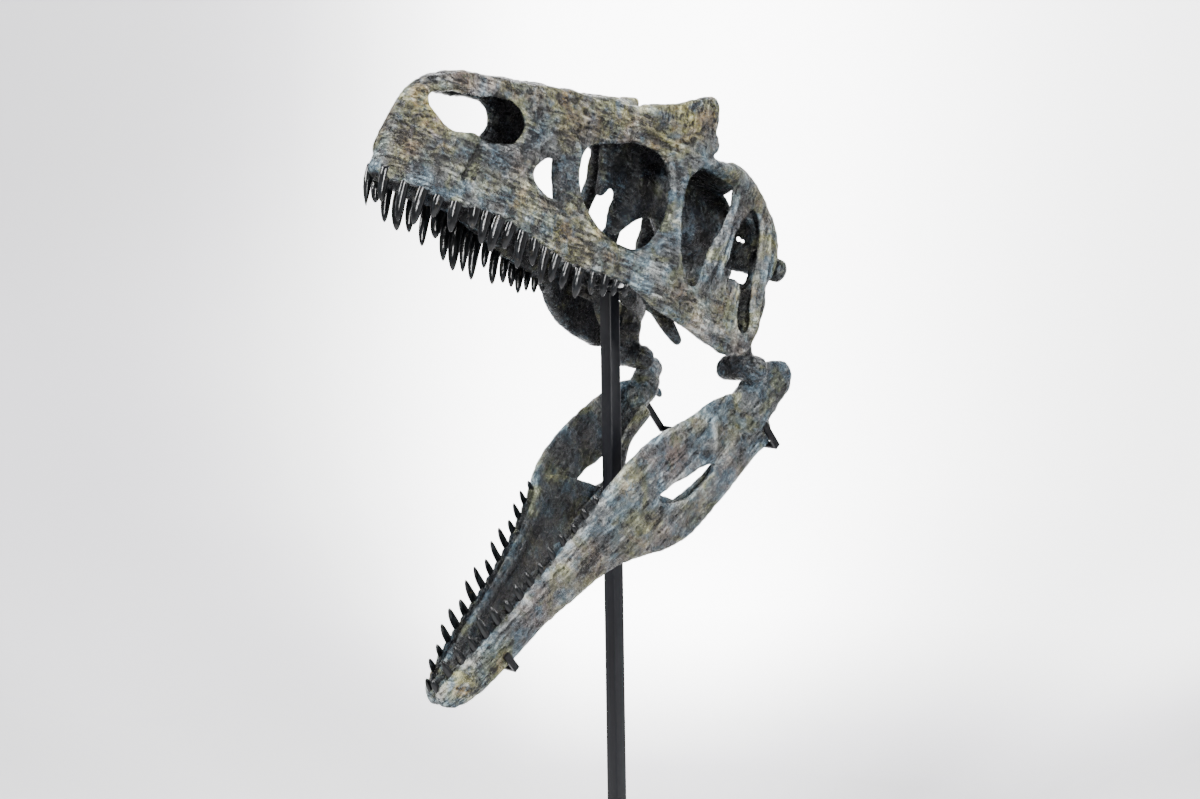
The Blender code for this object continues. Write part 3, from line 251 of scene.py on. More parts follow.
# Tooth rows: count, first and last place along s or m, how far inside the outer surface
UPPER_TEETH = {"premaxilla": (5, 0.012, 0.132, 0.010), "maxilla": (14, 0.167, 0.495, 0.011)}
DENTARY_TEETH = (15, 0.728, 0.335, 0.012)
TOOTH_ROOT = 0.012
# Height of the edge that the teeth grow from, along s above and along m below
EDGE_S = metres([0, 60, 127, 204, 288, 375, 510])
EDGE_Z = metres([22, 17, 14, 20, 7, -6, -10])
EDGE_M = metres([289, 334, 392, 461, 552, 635, 698, 733])
EDGE_N = metres([72, 60, 50, 41, 37, 38, 36, 31])
# Length of the crowns along each row, on either side
UPPER_LENGTH_S = metres([0, 60, 120, 170, 210, 270, 320, 400, 450, 500])
UPPER_LENGTHS = metres({
    1: [64, 58, 44, 42, 52, 54, 56, 47, 32, 14], -1: [52, 52, 56, 64, 70, 80, 58, 46, 40, 16],
})
LOWER_LENGTH_M = metres([330, 450, 550, 620, 670, 730])
LOWER_LENGTHS = metres({
    1: [14, 22, 28, 40, 34, 28], -1: [24, 42, 47, 42, 34, 18],
})


def coordinates(mesh):
    points = np.empty(len(mesh.vertices) * 3)
    mesh.vertices.foreach_get("co", points)
    return points.reshape(-1, 3)


def place_points(mesh, points):
    mesh.vertices.foreach_set("co", points.ravel())
    mesh.update()


def mesh_of(bm, name="shape"):
    """The bmesh as a mesh; the bmesh goes."""
    mesh = bpy.data.meshes.new(name)
    bm.to_mesh(mesh)
    bm.free()
    return mesh


def finished_bmesh(bm):
    """The bmesh as a mesh with its faces pointing out."""
    bmesh.ops.recalc_face_normals(bm, faces=bm.faces)
    return mesh_of(bm)


def side_faces(bm, rings):
    """Faces between each ring of points and the next."""
    count = len(rings[0])
    for ring, following in zip(rings, rings[1:]):
        for k in range(count):
            after = (k + 1) % count
            bm.faces.new((ring[k], ring[after], following[after], following[k]))


def baked(obj):
    """The object's mesh with its modifiers applied; the object goes."""
    bpy.context.view_layer.update()
    graph = bpy.context.evaluated_depsgraph_get()
    mesh = bpy.data.meshes.new_from_object(obj.evaluated_get(graph))
    bpy.data.objects.remove(obj)
    return mesh


def linked(data, name="work"):
    """A new object for the mesh, curve, camera or light."""
    obj = bpy.data.objects.new(name, data)
    bpy.context.scene.collection.objects.link(obj)
    return obj


def joined(meshes):
    bm = bmesh.new()
    for mesh in meshes:
        bm.from_mesh(mesh)
    return mesh_of(bm)


def remeshed(mesh, voxel, smooth_steps=0):
    obj = linked(mesh)
    remesh = obj.modifiers.new("voxels", "REMESH")
    remesh.mode = "VOXEL"
    remesh.voxel_size = voxel
    if smooth_steps:
        smooth = obj.modifiers.new("worn", "SMOOTH")
        smooth.factor = 0.5
        smooth.iterations = smooth_steps
    return baked(obj)


def combined(mesh, tool, operation, solver):
    obj = linked(mesh)
    other = linked(tool, "tool")
    boolean = obj.modifiers.new("boolean", "BOOLEAN")
    boolean.operation = operation
    boolean.solver = solver
    boolean.object = other
    result = baked(obj)
    bpy.data.objects.remove(other)
    return result


def grown(mesh, distance):
    """A copy of the mesh, larger all round by a distance."""
    copy = mesh.copy()
    place_points(copy, coordinates(copy) + vertex_normals(copy) * distance)
    return copy


def mirrored(mesh):
    copy = mesh.copy()
    place_points(copy, coordinates(copy) * (-1, 1, 1))
    copy.flip_normals()
    return copy


def bell(distance, reach):
    """1 at no distance, falling smoothly away over the reach."""
    return np.exp(-((distance / reach) ** 2))


def flat_sheet(outline, holes=()):
    """A flat sheet in the XY plane, SHEET thick, with smooth edges through the given points."""
    curve = bpy.data.curves.new("outline", "CURVE")
    curve.dimensions = "2D"
    curve.fill_mode = "BOTH"
    curve.extrude = SHEET / 2
    curve.resolution_u = 6
    for loop in [outline, *holes]:
        spline = curve.splines.new("BEZIER")
        spline.bezier_points.add(len(loop) - 1)
        for point, (a, b) in zip(spline.bezier_points, loop):
            point.co = (a, b, 0)
            point.handle_left_type = "AUTO"
            point.handle_right_type = "AUTO"
        spline.use_cyclic_u = True
    return remeshed(baked(linked(curve)), VOXEL)


def half_width(s, z):
    """The cranium's outer half-width."""
    low = np.interp(s, LOW_S, LOW_X)
    high = np.interp(s, TOP_S, TOP_X)
    share = np.clip(z / np.interp(s, TOP_Z_S, TOP_Z), 0, 1.2)
    return low + (high - low) * share


def jaw_half_width(m):
    return np.interp(m, JAW_M, JAW_X)


def flare_point(x, s):
    """Where a point of the cranium at (x, s) goes as the skull widens behind the snout."""
    share = np.clip((s - FLARE_START) / (FLARE_END - FLARE_START), 0, 1)
    share = share * share * (3 - 2 * share)
    return x * (1 + FLARE_OUT * share), s - FLARE_FORWARD * np.abs(x) * share


def flared(mesh):
    """The mesh of part of the cranium, with every point so moved."""
    x, s, z = coordinates(mesh).T
    place_points(mesh, np.stack([*flare_point(x, s), z], axis=1))
    return mesh


def wall_thickness(s, z):
    """Thick along the tooth row and at the snout, and at the bars beside the eye."""
    teeth = 0.014 * np.clip((0.075 - z) / 0.05, 0, 1) * np.clip((0.56 - s) / 0.06, 0, 1)
    snout = 0.010 * np.clip((0.12 - s) / 0.06, 0, 1)
    horn = 0.016 * bell(s - 0.565, 0.06) * np.clip((z - 0.15) / 0.12, 0, 1)
    eye_bar = 0.006 * bell(s - 0.555, 0.02) + 0.006 * bell(s - 0.670, 0.03)
    return SHEET + np.maximum(teeth, snout) + horn + eye_bar


def side_wall(outline):
    """A side wall with its openings, bent to the cranium's half-width."""
    mesh = flat_sheet(outline, [NARIS, MAXILLARY_FENESTRA, ANTORBITAL_FENESTRA, ORBIT, TEMPORAL_FENESTRA])
    s, z, across = coordinates(mesh).T
    slope = (half_width(s + SLOPE_STEP, z) - half_width(s - SLOPE_STEP, z)) / (2 * SLOPE_STEP)
    depth = (0.5 - across / SHEET) * wall_thickness(s, z)
    length = np.sqrt(1 + slope**2)
    x = half_width(s, z) - depth / length
    place_points(mesh, np.stack([x, s + depth * slope / length, z], axis=1))
    return mesh


def roof_sheet(outline):
    """A roof of the cranium over its plan outline, at the roof's height and slightly domed."""
    mesh = flat_sheet(outline)
    s, x, up = coordinates(mesh).T
    dome = 0.006 * (x / np.interp(s, TOP_S, TOP_X).clip(0.02)) ** 2
    top = np.interp(s, ROOF_S, ROOF_Z) - dome
    place_points(mesh, np.stack([x, s, top + (up / SHEET - 0.5) * ROOF_THICK], axis=1))
    return mesh


def smooth_run(values):
    """The values run through smoothly (Catmull-Rom), SWEEP_STEPS samples a stretch."""
    padded = np.concatenate([2 * values[:1] - values[1:2], values, 2 * values[-1:] - values[-2:-1]])
    steps = []
    for i in range(1, len(padded) - 2):
        before, start, end, after = padded[i - 1 : i + 3]
        for t in np.arange(SWEEP_STEPS) / SWEEP_STEPS:
            steps.append(
                0.5 * (2 * start + (end - before) * t + (2 * before - 5 * start + 4 * end - after) * t**2
                       + (3 * start - before - 3 * end + after) * t**3)
            )
    return np.array([*steps, values[-1]])


def sweep(stations, upwards=(0, 0, 1)):
    """A bar of oval section through (x, y, z, half-width, half-height along `upwards`), in millimetres."""
    stations = smooth_run(np.array(stations) / 1000)
    centres, halves = stations[:, :3], stations[:, 3:].clip(0.001)
    last = len(centres) - 1
    bm = bmesh.new()
    rings = []
    for i, (centre, (across, tall)) in enumerate(zip(centres, halves)):
        tangent = Vector(centres[min(i + 1, last)] - centres[max(i - 1, 0)]).normalized()
        out = Vector(upwards).cross(tangent).normalized()
        up = tangent.cross(out)
        reach = min(across, tall)
        ends = [(0.0, 1.0)]
        if i == 0:
            ends = [(-0.9 * reach, 0.4), (-0.5 * reach, 0.85), (0.0, 1.0)]
        if i == last:
            ends = [(0.0, 1.0), (0.5 * reach, 0.85), (0.9 * reach, 0.4)]
        for shift, share in ends:
            ring = []
            for k in range(SWEEP_SIDES):
                angle = 2 * math.pi * k / SWEEP_SIDES
                offset = out * (across * math.cos(angle)) + up * (tall * math.sin(angle))
                ring.append(bm.verts.new(Vector(centre) + tangent * shift + offset * share))
            rings.append(ring)
    side_faces(bm, rings)
    bm.faces.new(rings[0])
    bm.faces.new(rings[-1])
    return finished_bmesh(bm)


def prism(corners, low, high, axes):
    """A straight-sided block over the corners. `axes` places (first, second, across) as (x, y, z)."""
    bm = bmesh.new()
    rings = [[bm.verts.new(axes(a, b, across)) for a, b in corners] for across in (low, high)]
    bm.faces.new(rings[0])
    bm.faces.new(rings[1])
    side_faces(bm, rings)
    bm.normal_update()
    bmesh.ops.triangulate(bm, faces=bm.faces)
    return finished_bmesh(bm)


def inset(corners, distance):
    """The polygon drawn in by a distance along every side."""
    points = np.array(corners)
    ahead = np.roll(points, -1, axis=0) - points
    area = np.sum(points[:, 0] * np.roll(points[:, 1], -1) - np.roll(points[:, 0], -1) * points[:, 1])
    ahead /= np.linalg.norm(ahead, axis=1)[:, None]
    inward = np.stack([-ahead[:, 1], ahead[:, 0]], axis=1) * np.sign(area)
    before = np.roll(inward, 1, axis=0)
    corner = (inward + before) / (1 + np.sum(inward * before, axis=1))[:, None]
    return [tuple(point) for point in points + corner * distance]


def cranium_place():
    """Where the cranium's axes stand in the world; jaw_place does the same for the jaw's."""
    turn = Matrix.Rotation(-NOSE_UP, 4, "X")
    return Matrix.Translation((0, JOINT_Y, JOINT_Z)) @ turn @ Matrix.Translation((0, -JOINT_S, -JOINT_H))


def jaw_place():
    return Matrix.Translation((0, JOINT_Y, JOINT_Z)) @ Matrix.Rotation(JAW_DOWN, 4, "X")


def forward(stations):
    """Jaw stations, given as (x, m, n, ...), in the jaw's own axes, whose Y runs backwards."""
    return [(x, -m, n, *halves) for x, m, n, *halves in stations]


def alveolus(s):
    """Height of the upper tooth row's edge along s."""
    return np.interp(s, EDGE_S, EDGE_Z)


def upper_tooth_length(s, index, side):
    """Longest over the front of the maxilla, shorter at both ends, with newer teeth among the old."""
    full = np.interp(s, UPPER_LENGTH_S, UPPER_LENGTHS[side])
    older = full * (1.0 - 0.16 * (math.sin(2.4 * index + 1.1 * side) > 0.45))
    return older * (1 - 0.20 * (math.sin(3.7 * index + 2.0 * side) > 0.35))


def jaw_edge(m):
    """Height of the lower tooth row's edge along m."""
    return np.interp(m, EDGE_M, EDGE_N)


def jaw_thickness(m, n):
    """Thick along the tooth row and at the chin, thin behind."""
    teeth = 0.012 * np.clip((m - 0.28) / 0.06, 0, 1) * np.clip((n + 0.005) / 0.03, 0, 1)
    chin = 0.014 * np.clip((m - 0.62) / 0.08, 0, 1)
    return 0.012 + np.maximum(teeth, chin)


def jaw_wall(outline, holes, inside=0.0, thickness=jaw_thickness):
    """A side of the jaw, bent to the jaw's half-width, that far inside the outer surface."""
    mesh = flat_sheet(outline, holes)
    m, n, across = coordinates(mesh).T
    depth = inside + (0.5 - across / SHEET) * thickness(m, n)
    low = np.clip(-n / 0.12, 0, 1)
    belly = 0.010 * low**2 * np.clip(1 - m / 0.5, 0, 1)
    slope = (jaw_half_width(m + SLOPE_STEP) - jaw_half_width(m - SLOPE_STEP)) / (2 * SLOPE_STEP)
    length = np.sqrt(1 + slope**2)
    x = jaw_half_width(m) - belly - depth / length
    place_points(mesh, np.stack([x, -(m + depth * slope / length), n], axis=1))
    return mesh


def on_side(mesh, side):
    """A mesh modelled on the left, set on its own side (1 left, -1 right)."""
    return mesh if side == 1 else mirrored(mesh)


def cheek(outline, side):
    """The wall's outline, with the right cheek's lower edge hanging a little lower."""
    if side == 1:
        return outline
    return [(s, z - (z < 0.0) * CHEEK_DROP * math.exp(-(((s - CHEEK_S) / CHEEK_REACH) ** 2)))
            for s, z in outline]


def left_of_midline(axes):
    return prism([(-0.3, -0.3), (1.0, -0.3), (1.0, 0.5), (-0.3, 0.5)], GAP / 2, 0.3, axes)


def cranium_axes(s, z, x):
    return (x, s, z)


def jaw_axes(m, n, x):
    return (x, -m, n)


def outer_cranium_parts(side):
    """One side wall with its nasal roof and the thick places on them, as one body."""
    return [
        side_wall(cheek(WALL, side)),
        roof_sheet(NASAL_ROOF),
        # Body of the premaxilla, and its front column below the nostrils
        sweep([(12, 20, 50, 14, 34), (22, 50, 55, 18, 36), (28, 95, 50, 14, 26)]),
        sweep([(6, 36, 155, 9, 12), (7, 24, 115, 11, 14), (9, 14, 60, 14, 14)], LENGTHWAYS),
        # Wall of the sinus inside the maxillary fenestra
        sweep([(44, 312, 172, 7, 14), (41, 326, 130, 8, 13), (47, 345, 85, 8, 16),
               (62, 350, 50, 8, 16)], LENGTHWAYS),
        # Brow over the eye, and the bar behind it
        sweep([(94, 585, 236, 10, 10), (104, 625, 234, 13, 13), (109, 665, 231, 15, 14),
               (110, 715, 209, 11, 12)]),
        sweep([(109, 690, 223, 11, 15), (110, 735, 200, 13, 17), (111, 778, 158, 12, 20)]),
    ]


def midline_parts():
    """The midline box of the cranium: skull roof, braincase, occiput and its side processes."""
    roof = roof_sheet(SKULL_ROOF)
    septum = flat_sheet(SEPTUM)
    s, z, across = coordinates(septum).T
    place_points(septum, np.stack([across, s, z], axis=1))
    parts = [
        roof,
        mirrored(roof),
        septum,
        # Braincase, its floor running down to the palate, and the ball that meets the neck
        sweep([(0, 585, 215, 18, 36), (0, 640, 180, 30, 52), (0, 700, 150, 40, 60), (0, 770, 135, 40, 48)]),
        sweep([(0, 725, 110, 30, 34), (0, 715, 50, 28, 26), (0, 690, 15, 32, 18), (0, 672, -2, 26, 10)],
              LENGTHWAYS),
        sweep([(0, 775, 110, 21, 20), (0, 800, 108, 21, 20)]),
    ]
    for side in SIDES:
        # Crest across the back of the skull, and the process below it that reaches out to the side
        for stations in (
            [(10, 762, 190, 10, 30), (55, 772, 186, 9, 26), (100, 786, 163, 9, 24)],
            [(20, 768, 135, 15, 30), (70, 786, 125, 11, 24), (126, 808, 112, 11, 22)],
        ):
            parts.append(sweep([(x * side, *others) for x, *others in stations]))
    return parts


def quadrate_parts():
    """Column from the squamosal to the jaw joint, with the broad condyle and the wing to the pterygoid."""
    return [
        sweep([(104, 770, 125, 13, 14), (108, 764, 60, 11, 13), (112, 764, 0, 14, 16),
               (118, 773, -60, 22, 18)], LENGTHWAYS),
        sweep([(88, 779, -70, 21, 25), (116, 781, -66, 18, 24), (146, 783, -68, 21, 25)]),
        sweep([(100, 750, 30, 6, 48), (78, 722, 28, 5, 44), (58, 696, 22, 5, 26)]),
    ]


def pterygoid_parts():
    """Long bar of the palate, with the flange that hangs below it."""
    return [
        sweep([(60, 715, 12, 6, 36), (46, 672, 10, 10, 22), (38, 600, 24, 10, 18), (34, 545, 33, 8, 16),
               (24, 430, 36, 7, 18), (15, 330, 36, 5, 14)]),
        sweep([(46, 580, 16, 7, 26), (56, 606, -10, 7, 22), (64, 640, -38, 7, 15),
               (66, 667, -54, 6, 10)], (0, 1, 0.6)),
    ]


def ectopterygoid_parts():
    """Hooked strut from the pterygoid's flange out to the cheek."""
    return [sweep([(66, 606, -6, 10, 14), (82, 588, 0, 10, 12), (100, 582, 0, 9, 11),
                   (118, 600, -4, 10, 14)])]


def palatine_parts():
    """Forked plate between the pterygoid and the maxilla."""
    return [
        sweep([(30, 400, 36, 24, 6), (52, 395, 26, 16, 6), (76, 405, 18, 26, 8)]),
        sweep([(30, 470, 34, 14, 7), (52, 480, 22, 10, 6), (86, 485, 10, 16, 8)]),
        sweep([(32, 395, 37, 8, 14), (31, 470, 36, 8, 8)]),
    ]


def vomer_parts():
    """Midline bar of the palate, from the snout back to between the pterygoids."""
    return [sweep([(0, 70, 44, 16, 8), (0, 150, 46, 10, 10), (0, 260, 44, 9, 12), (0, 360, 46, 10, 10)])]


def jaw_outline(side):
    outline = list(JAW)
    if side == -1:
        rear = [point for point in JAW if point[0] < JAW_REAR_M and point[1] < -0.1]
        start = outline.index(rear[0])
        outline[start : start + len(rear)] = RIGHT_JAW_REAR
    return outline


def articular_parts(side):
    """The jaw's joint block and the process behind it; the right one is smaller."""
    size = ARTICULAR_SIZE[side]
    stations = [(116, 30, -50, 24, 44), (120, 0, -52, 26, 48), (128, -45, -46, 20, 48),
                (134, -88, -60, 13, 30)]
    return [sweep(forward([(x, m if m > 0 else m * size, n * size, across, size * tall)
                           for x, m, n, across, tall in stations]))]


def splenial_parts():
    """The plate that covers the inner side of the dentary."""
    return [jaw_wall(SPLENIAL, [], SPLENIAL_INSIDE, lambda m, n: SPLENIAL_THICK)]


def prearticular_parts(side):
    """The long bar along the jaw's inner side, behind the splenial."""
    size = ARTICULAR_SIZE[side]
    return [sweep(forward([(96, 40, -80 * size, 6, 30 * size), (98, 112, -94 * size, 5, 21 * size),
                           (90, 183, -90, 5, 22), (80, 243, -78, 5, 22), (73, 293, -60, 4, 16)]))]


def world_mesh(mesh, matrix):
    copy = mesh.copy()
    copy.transform(matrix)
    return copy


def rounded_box(size, centre, radius, segments=1):
    bm = bmesh.new()
    bmesh.ops.create_cube(bm, size=1)
    bmesh.ops.scale(bm, vec=size, verts=bm.verts)
    bmesh.ops.translate(bm, vec=centre, verts=bm.verts)
    obj = linked(finished_bmesh(bm))
    bevel = obj.modifiers.new("edges", "BEVEL")
    bevel.width = radius
    bevel.segments = segments
    bevel.limit_method = "NONE"
    return baked(obj)


def saddle_plate():
    """Plate on the post's top, under the two pterygoids."""
    return rounded_box(SADDLE_SIZE, (0, SADDLE_Y, POST_TOP + GAP + SADDLE_SIZE[2] / 2), 0.001)


# ---------------------------------------------------------------- scattered values and distances


def lattice(i, j, k, seed):
    """A repeatable value from 0 to 1 for each whole-number place."""
    h = i * 668265263 ^ j * 374761393 ^ k * 2654435769 ^ (seed * 974634777 + 12345)
    h = (h & 0xFFFFFFFF).astype(np.uint64)
    h = ((h ^ (h >> np.uint64(15))) * np.uint64(739982445)) & np.uint64(0xFFFFFFFF)
    h = ((h ^ (h >> np.uint64(12))) * np.uint64(695872825)) & np.uint64(0xFFFFFFFF)
    return (h ^ (h >> np.uint64(15))).astype(float) / 0xFFFFFFFF


def noise(points, scale, seed=0):
    """Smooth noise from -1 to 1 with lumps about `scale` across."""
    q = points / scale
    cell = np.floor(q).astype(np.int64)
    f = q - cell
    f = f * f * (3 - 2 * f)
    total = np.zeros(len(points))
    for corner in itertools.product((0, 1), repeat=3):
        weight = np.ones(len(points))
        for axis in range(3):
            weight = weight * (f[:, axis] if corner[axis] else 1 - f[:, axis])
        total += weight * lattice(*(cell + corner).T, seed)
    return 2 * total - 1


def layered(points, scale, layers=3, seed=0):
    """Noise with ever finer layers, from -1 to 1."""
    total = sum(noise(points, scale / 2**k, seed + 17 * k) / 2**k for k in range(layers))
    return total / (2 - 0.5 ** (layers - 1))


def ridged(points, scale, layers=3, seed=0):
    """Creased noise, 1 along its ridge lines."""
    total = sum((1 - abs(noise(points, scale / 2**k, seed + 29 * k))) / 2**k for k in range(layers))
    return total / (2 - 0.5 ** (layers - 1))


def scattered(points, scale, seed=0):
    """Distance to the nearest of some scattered places, in shares of `scale`, and that place's value."""
    q = points / scale
    cell = np.floor(q).astype(np.int64)
    best = np.full(len(points), FAR)
    value = np.zeros(len(points))
    for step in itertools.product((-1, 0, 1), repeat=3):
        near = cell + step
        spot = near + np.stack([lattice(*near.T, seed + k) for k in (1, 2, 3)], axis=1)
        reach = ((q - spot) ** 2).sum(axis=1)
        closer = reach < best
        best = np.where(closer, reach, best)
        value = np.where(closer, lattice(*near.T, seed + 4), value)
    return np.sqrt(best), value


def smooth_step(value, low, high):
    share = np.clip((value - low) / (high - low), 0, 1)
    return share * share * (3 - 2 * share)


def from_line(a, b, path, closed=False):
    """Distance in the (a, b) plane from each point to the path."""
    ends = list(path) + ([path[0]] if closed else [])
    best = np.full(len(a), FAR)
    for (a0, b0), (a1, b1) in zip(ends, ends[1:]):
        da, db = a1 - a0, b1 - b0
        t = np.clip(((a - a0) * da + (b - b0) * db) / (da * da + db * db), 0, 1)
        best = np.minimum(best, (a - a0 - t * da) ** 2 + (b - b0 - t * db) ** 2)
    return np.sqrt(best)


def inside(a, b, path):
    """Whether each point lies inside the closed path."""
    odd = np.zeros(len(a), bool)
    for (a0, b0), (a1, b1) in zip(path, [*path[1:], path[0]]):
        if b0 != b1:
            odd ^= ((b0 > b) != (b1 > b)) & (a < (a1 - a0) * (b - b0) / (b1 - b0) + a0)
    return odd


# ---------------------------------------------------------------- sutures

WAVE_HEIGHT = 0.0021
SUTURE_STEP = 0.0035
SUTURE_GAP = 0.00001
WAVES = [(0.031, 1.0), (0.0127, 0.55), (0.0061, 0.32)]


def wave(key, t, length):
    """How far a suture strays sideways at share t of its length; its ends stay put."""
    phase = sum(ord(letter) * (k + 1) for k, letter in enumerate("".join(key)))
    total = sum(share * np.sin(2 * math.pi * t * length / reach + phase * (k + 1.7))
                for k, (reach, share) in enumerate(WAVES))
    return WAVE_HEIGHT * total * np.minimum(1, 6 * t * (1 - t) * 1.2)


def corners_of(names):
    """The names of a bone's corners in turn, each with the next, and the sorted pair as their key."""
    loop = names.split()
    return [(a, b, tuple(sorted((a, b)))) for a, b in zip(loop, [*loop[1:], loop[0]])]


def suture_edges(bones):
    """The pairs of corners that two bones share."""
    keys = [key for names in bones.values() for _, _, key in corners_of(names)]
    return [key for key in dict.fromkeys(keys) if keys.count(key) == 2]


def run_of(key, corners):
    """Where a suture starts, its direction and its length."""
    (a0, b0), (a1, b1) = corners[key[0]], corners[key[1]]
    length = math.hypot(a1 - a0, b1 - b0)
    return a0, b0, (a1 - a0) / length, (b1 - b0) / length, length


def from_sutures(a, b, bones, corners):
    """Distance in the (a, b) plane from each point to the nearest suture."""
    best = np.full(len(a), FAR)
    for key in suture_edges(bones):
        a0, b0, ta, tb, length = run_of(key, corners)
        t = np.clip(((a - a0) * ta + (b - b0) * tb) / length, 0, 1)
        side = (b - b0) * ta - (a - a0) * tb - wave(key, t, length)
        past = (a - a0 - t * length * ta) * ta + (b - b0 - t * length * tb) * tb
        best = np.minimum(best, np.hypot(side, past))
    return best


def wavy(names, corners):
    """A bone's outline through its corners, along its wavy sutures."""
    points = []
    for start, _, key in corners_of(names):
        a0, b0, ta, tb, length = run_of(key, corners)
        steps = max(2, round(length / SUTURE_STEP))
        t = np.arange(steps) / steps
        if start != key[0]:
            t = 1 - t
        shift = wave(key, t, length)
        points += zip(a0 + t * length * ta - shift * tb, b0 + t * length * tb + shift * ta)
    return points


# ---------------------------------------------------------------- relief of the bone

SEAM_DEPTH = 0.0008
SEAM_REACH = 0.0016
# How far the raised lip of an opening reaches
LIP_REACH = 0.012
# Floor of the hollow in front of the eye, and its rim, as (s, z)
FOSSA = metres([
    (245, 100), (255, 130), (275, 165), (300, 195), (335, 210), (375, 235), (450, 250), (520, 245),
    (553, 200), (555, 140), (545, 100), (520, 65), (470, 38), (420, 48), (375, 72), (345, 85), (330, 70),
    (290, 70), (262, 82),
])
# Pits on the cranium: (s, z), radius, depth
PITS = metres([
    ((534, 240), 7, 4), ((558, 262), 6, 3), ((149, 61), 4, 3), ((27, 78), 3, 2), ((78, 18), 3, 2),
    ((183, 29), 3, 2), ((237, 26), 3, 2), ((300, 24), 3, 2), ((104, 50), 3, 2), ((255, 205), 7, 2.5),
    ((345, 238), 8, 3), ((440, 256), 6, 2.5),
])
# Ridges on the cranium: path of (s, z), reach to each side, height
RIDGES = metres([
    ([(527, 215), (544, 159), (564, 96), (580, 47)], 7, 2.5),
    ([(222, 146), (266, 185), (286, 209), (337, 189), (348, 170)], 6, 3),
    ([(348, 170), (357, 123), (375, 88)], 6, 2), ([(510, -2), (595, -24), (660, -36)], 8, 3),
    ([(648, 250), (690, 236), (730, 212)], 8, 3), ([(668, 200), (660, 127), (645, 76), (629, 41)], 5, 3),
    ([(752, 190), (766, 130), (764, 60), (762, -10)], 6, 3),
    ([(470, 250), (520, 248), (580, 236), (640, 232)], 7, 3),
    ([(385, 236), (440, 232), (500, 226)], 6, 3),
])
# Furrows on the cranium
FURROWS = metres([
    ([(151, 118), (147, 100), (138, 81), (131, 57)], 5, 3.5), ([(5, 45), (50, 34)], 9, 1.5),
    ([(560, -14), (640, -34), (715, -46)], 6, 2), ([(640, 215), (628, 160), (640, 110)], 5, 1.5),
])
# Ridges and furrows on the jaw, as (m, n)
JAW_RIDGES = metres([
    ([(143, 52), (84, 16), (96, -20), (125, -51)], 10, 4),
    ([(280, 48), (200, 36), (120, 20), (60, 0)], 12, 3), ([(265, -30), (300, -50), (340, -60)], 12, 2.5),
    ([(100, -80), (180, -98), (260, -85)], 14, 2),
])
JAW_FURROWS = metres([
    ([(360, 30), (460, 26), (560, 28), (660, 28)], 4, 1.2), ([(381, 52), (400, 46)], 6, 2),
    ([(330, -5), (420, -12)], 12, 2),
])


def cracked(points, scale, seed):
    """1 along a few long, thin, wandering lines."""
    fading = 0.3 * (1 + noise(points, 2 * scale, seed + 1)) / 2
    return smooth_step(1 - abs(noise(points, scale, seed)) - fading, 0.945, 0.985)


def wear(points, strength=1.0):
    """The small relief that all of the bone has."""
    swell = 0.0027 * layered(points, 0.046, 3, 1)
    crease = 0.0022 * (ridged(points, 0.018, 3, 2) - 0.62)
    grain = 0.00030 * layered(points, 0.0060, 2, 3)
    gap, value = scattered(points, 0.012, 7)
    pits = -0.0007 * (value > 0.86) * smooth_step(0.36 - gap, 0, 0.30)
    return strength * (swell + crease + grain + pits - 0.0010 * cracked(points, 0.055, 8))


def worn(strength=1.0):
    """The relief of a bone that has only the small wear, at this strength."""
    return lambda points: wear(points, strength)


def striae(a, b, x, angle, seed):
    """Fine streaks running along the bone at an angle in its own plane, here and there stronger."""
    along = a * math.cos(angle) + b * math.sin(angle)
    across = -a * math.sin(angle) + b * math.cos(angle)
    across = across + 0.003 * noise(np.stack([a, b, x], axis=1), 0.030, seed + 5)
    streaks = noise(np.stack([along / 7, across, x / 2], axis=1), 0.0055, seed)
    streaks += 0.5 * noise(np.stack([along / 4, across, x / 2], axis=1), 0.0030, seed + 1)
    return streaks * (0.65 + 0.6 * noise(np.stack([a, b, x], axis=1), 0.035, seed + 9))


def relief_lines(a, b, ridges, furrows):
    total = np.zeros(len(a))
    for path, reach, height in ridges:
        total += height * bell(from_line(a, b, path), reach)
    for path, reach, depth in furrows:
        total -= depth * bell(from_line(a, b, path), reach)
    return total


def root_swellings(place, up, row, height, middle, reach):
    """Swellings over the roots of a row of teeth, with hollows between, by the height over its edge."""
    count, first, last, _ = row
    turn = (place - first) / (last - first) * (count - 1)
    share = smooth_step(turn, -0.5, 0.0) * smooth_step(count - 0.5 - turn, 0, 0.5)
    return share * np.cos(2 * math.pi * turn) * height * bell(up - middle, reach)


def jaw_outerness(x, m, depth, end):
    """How much each point of the jaw is on its outer face, between two depths inside it."""
    return smooth_step(x, jaw_half_width(m) - depth, jaw_half_width(m) - end)


def cranium_zones(points):
    """Where on the cranium each point is: on the outer face, on the rough top, and on the snout."""
    x, s, z = points.T
    x = abs(x)
    thick = wall_thickness(s, z)
    outer = smooth_step(x, half_width(s, z) - 0.75 * thick, half_width(s, z) - 0.35 * thick)
    roof = np.interp(s, ROOF_S, ROOF_Z)
    top = smooth_step(z, roof - 0.050, roof - 0.016)
    outer = np.maximum(outer, smooth_step(z, roof - 0.006, roof + 0.002))
    ridge = top * smooth_step(s, 0.10, 0.24) * smooth_step(0.53 - s, 0, 0.04)
    horn = smooth_step(z, 0.262, 0.290) * smooth_step(s, 0.47, 0.50)
    snout = smooth_step(0.19 - s, 0, 0.10) * smooth_step(z, 0.03, 0.06)
    return outer, ridge, horn, snout


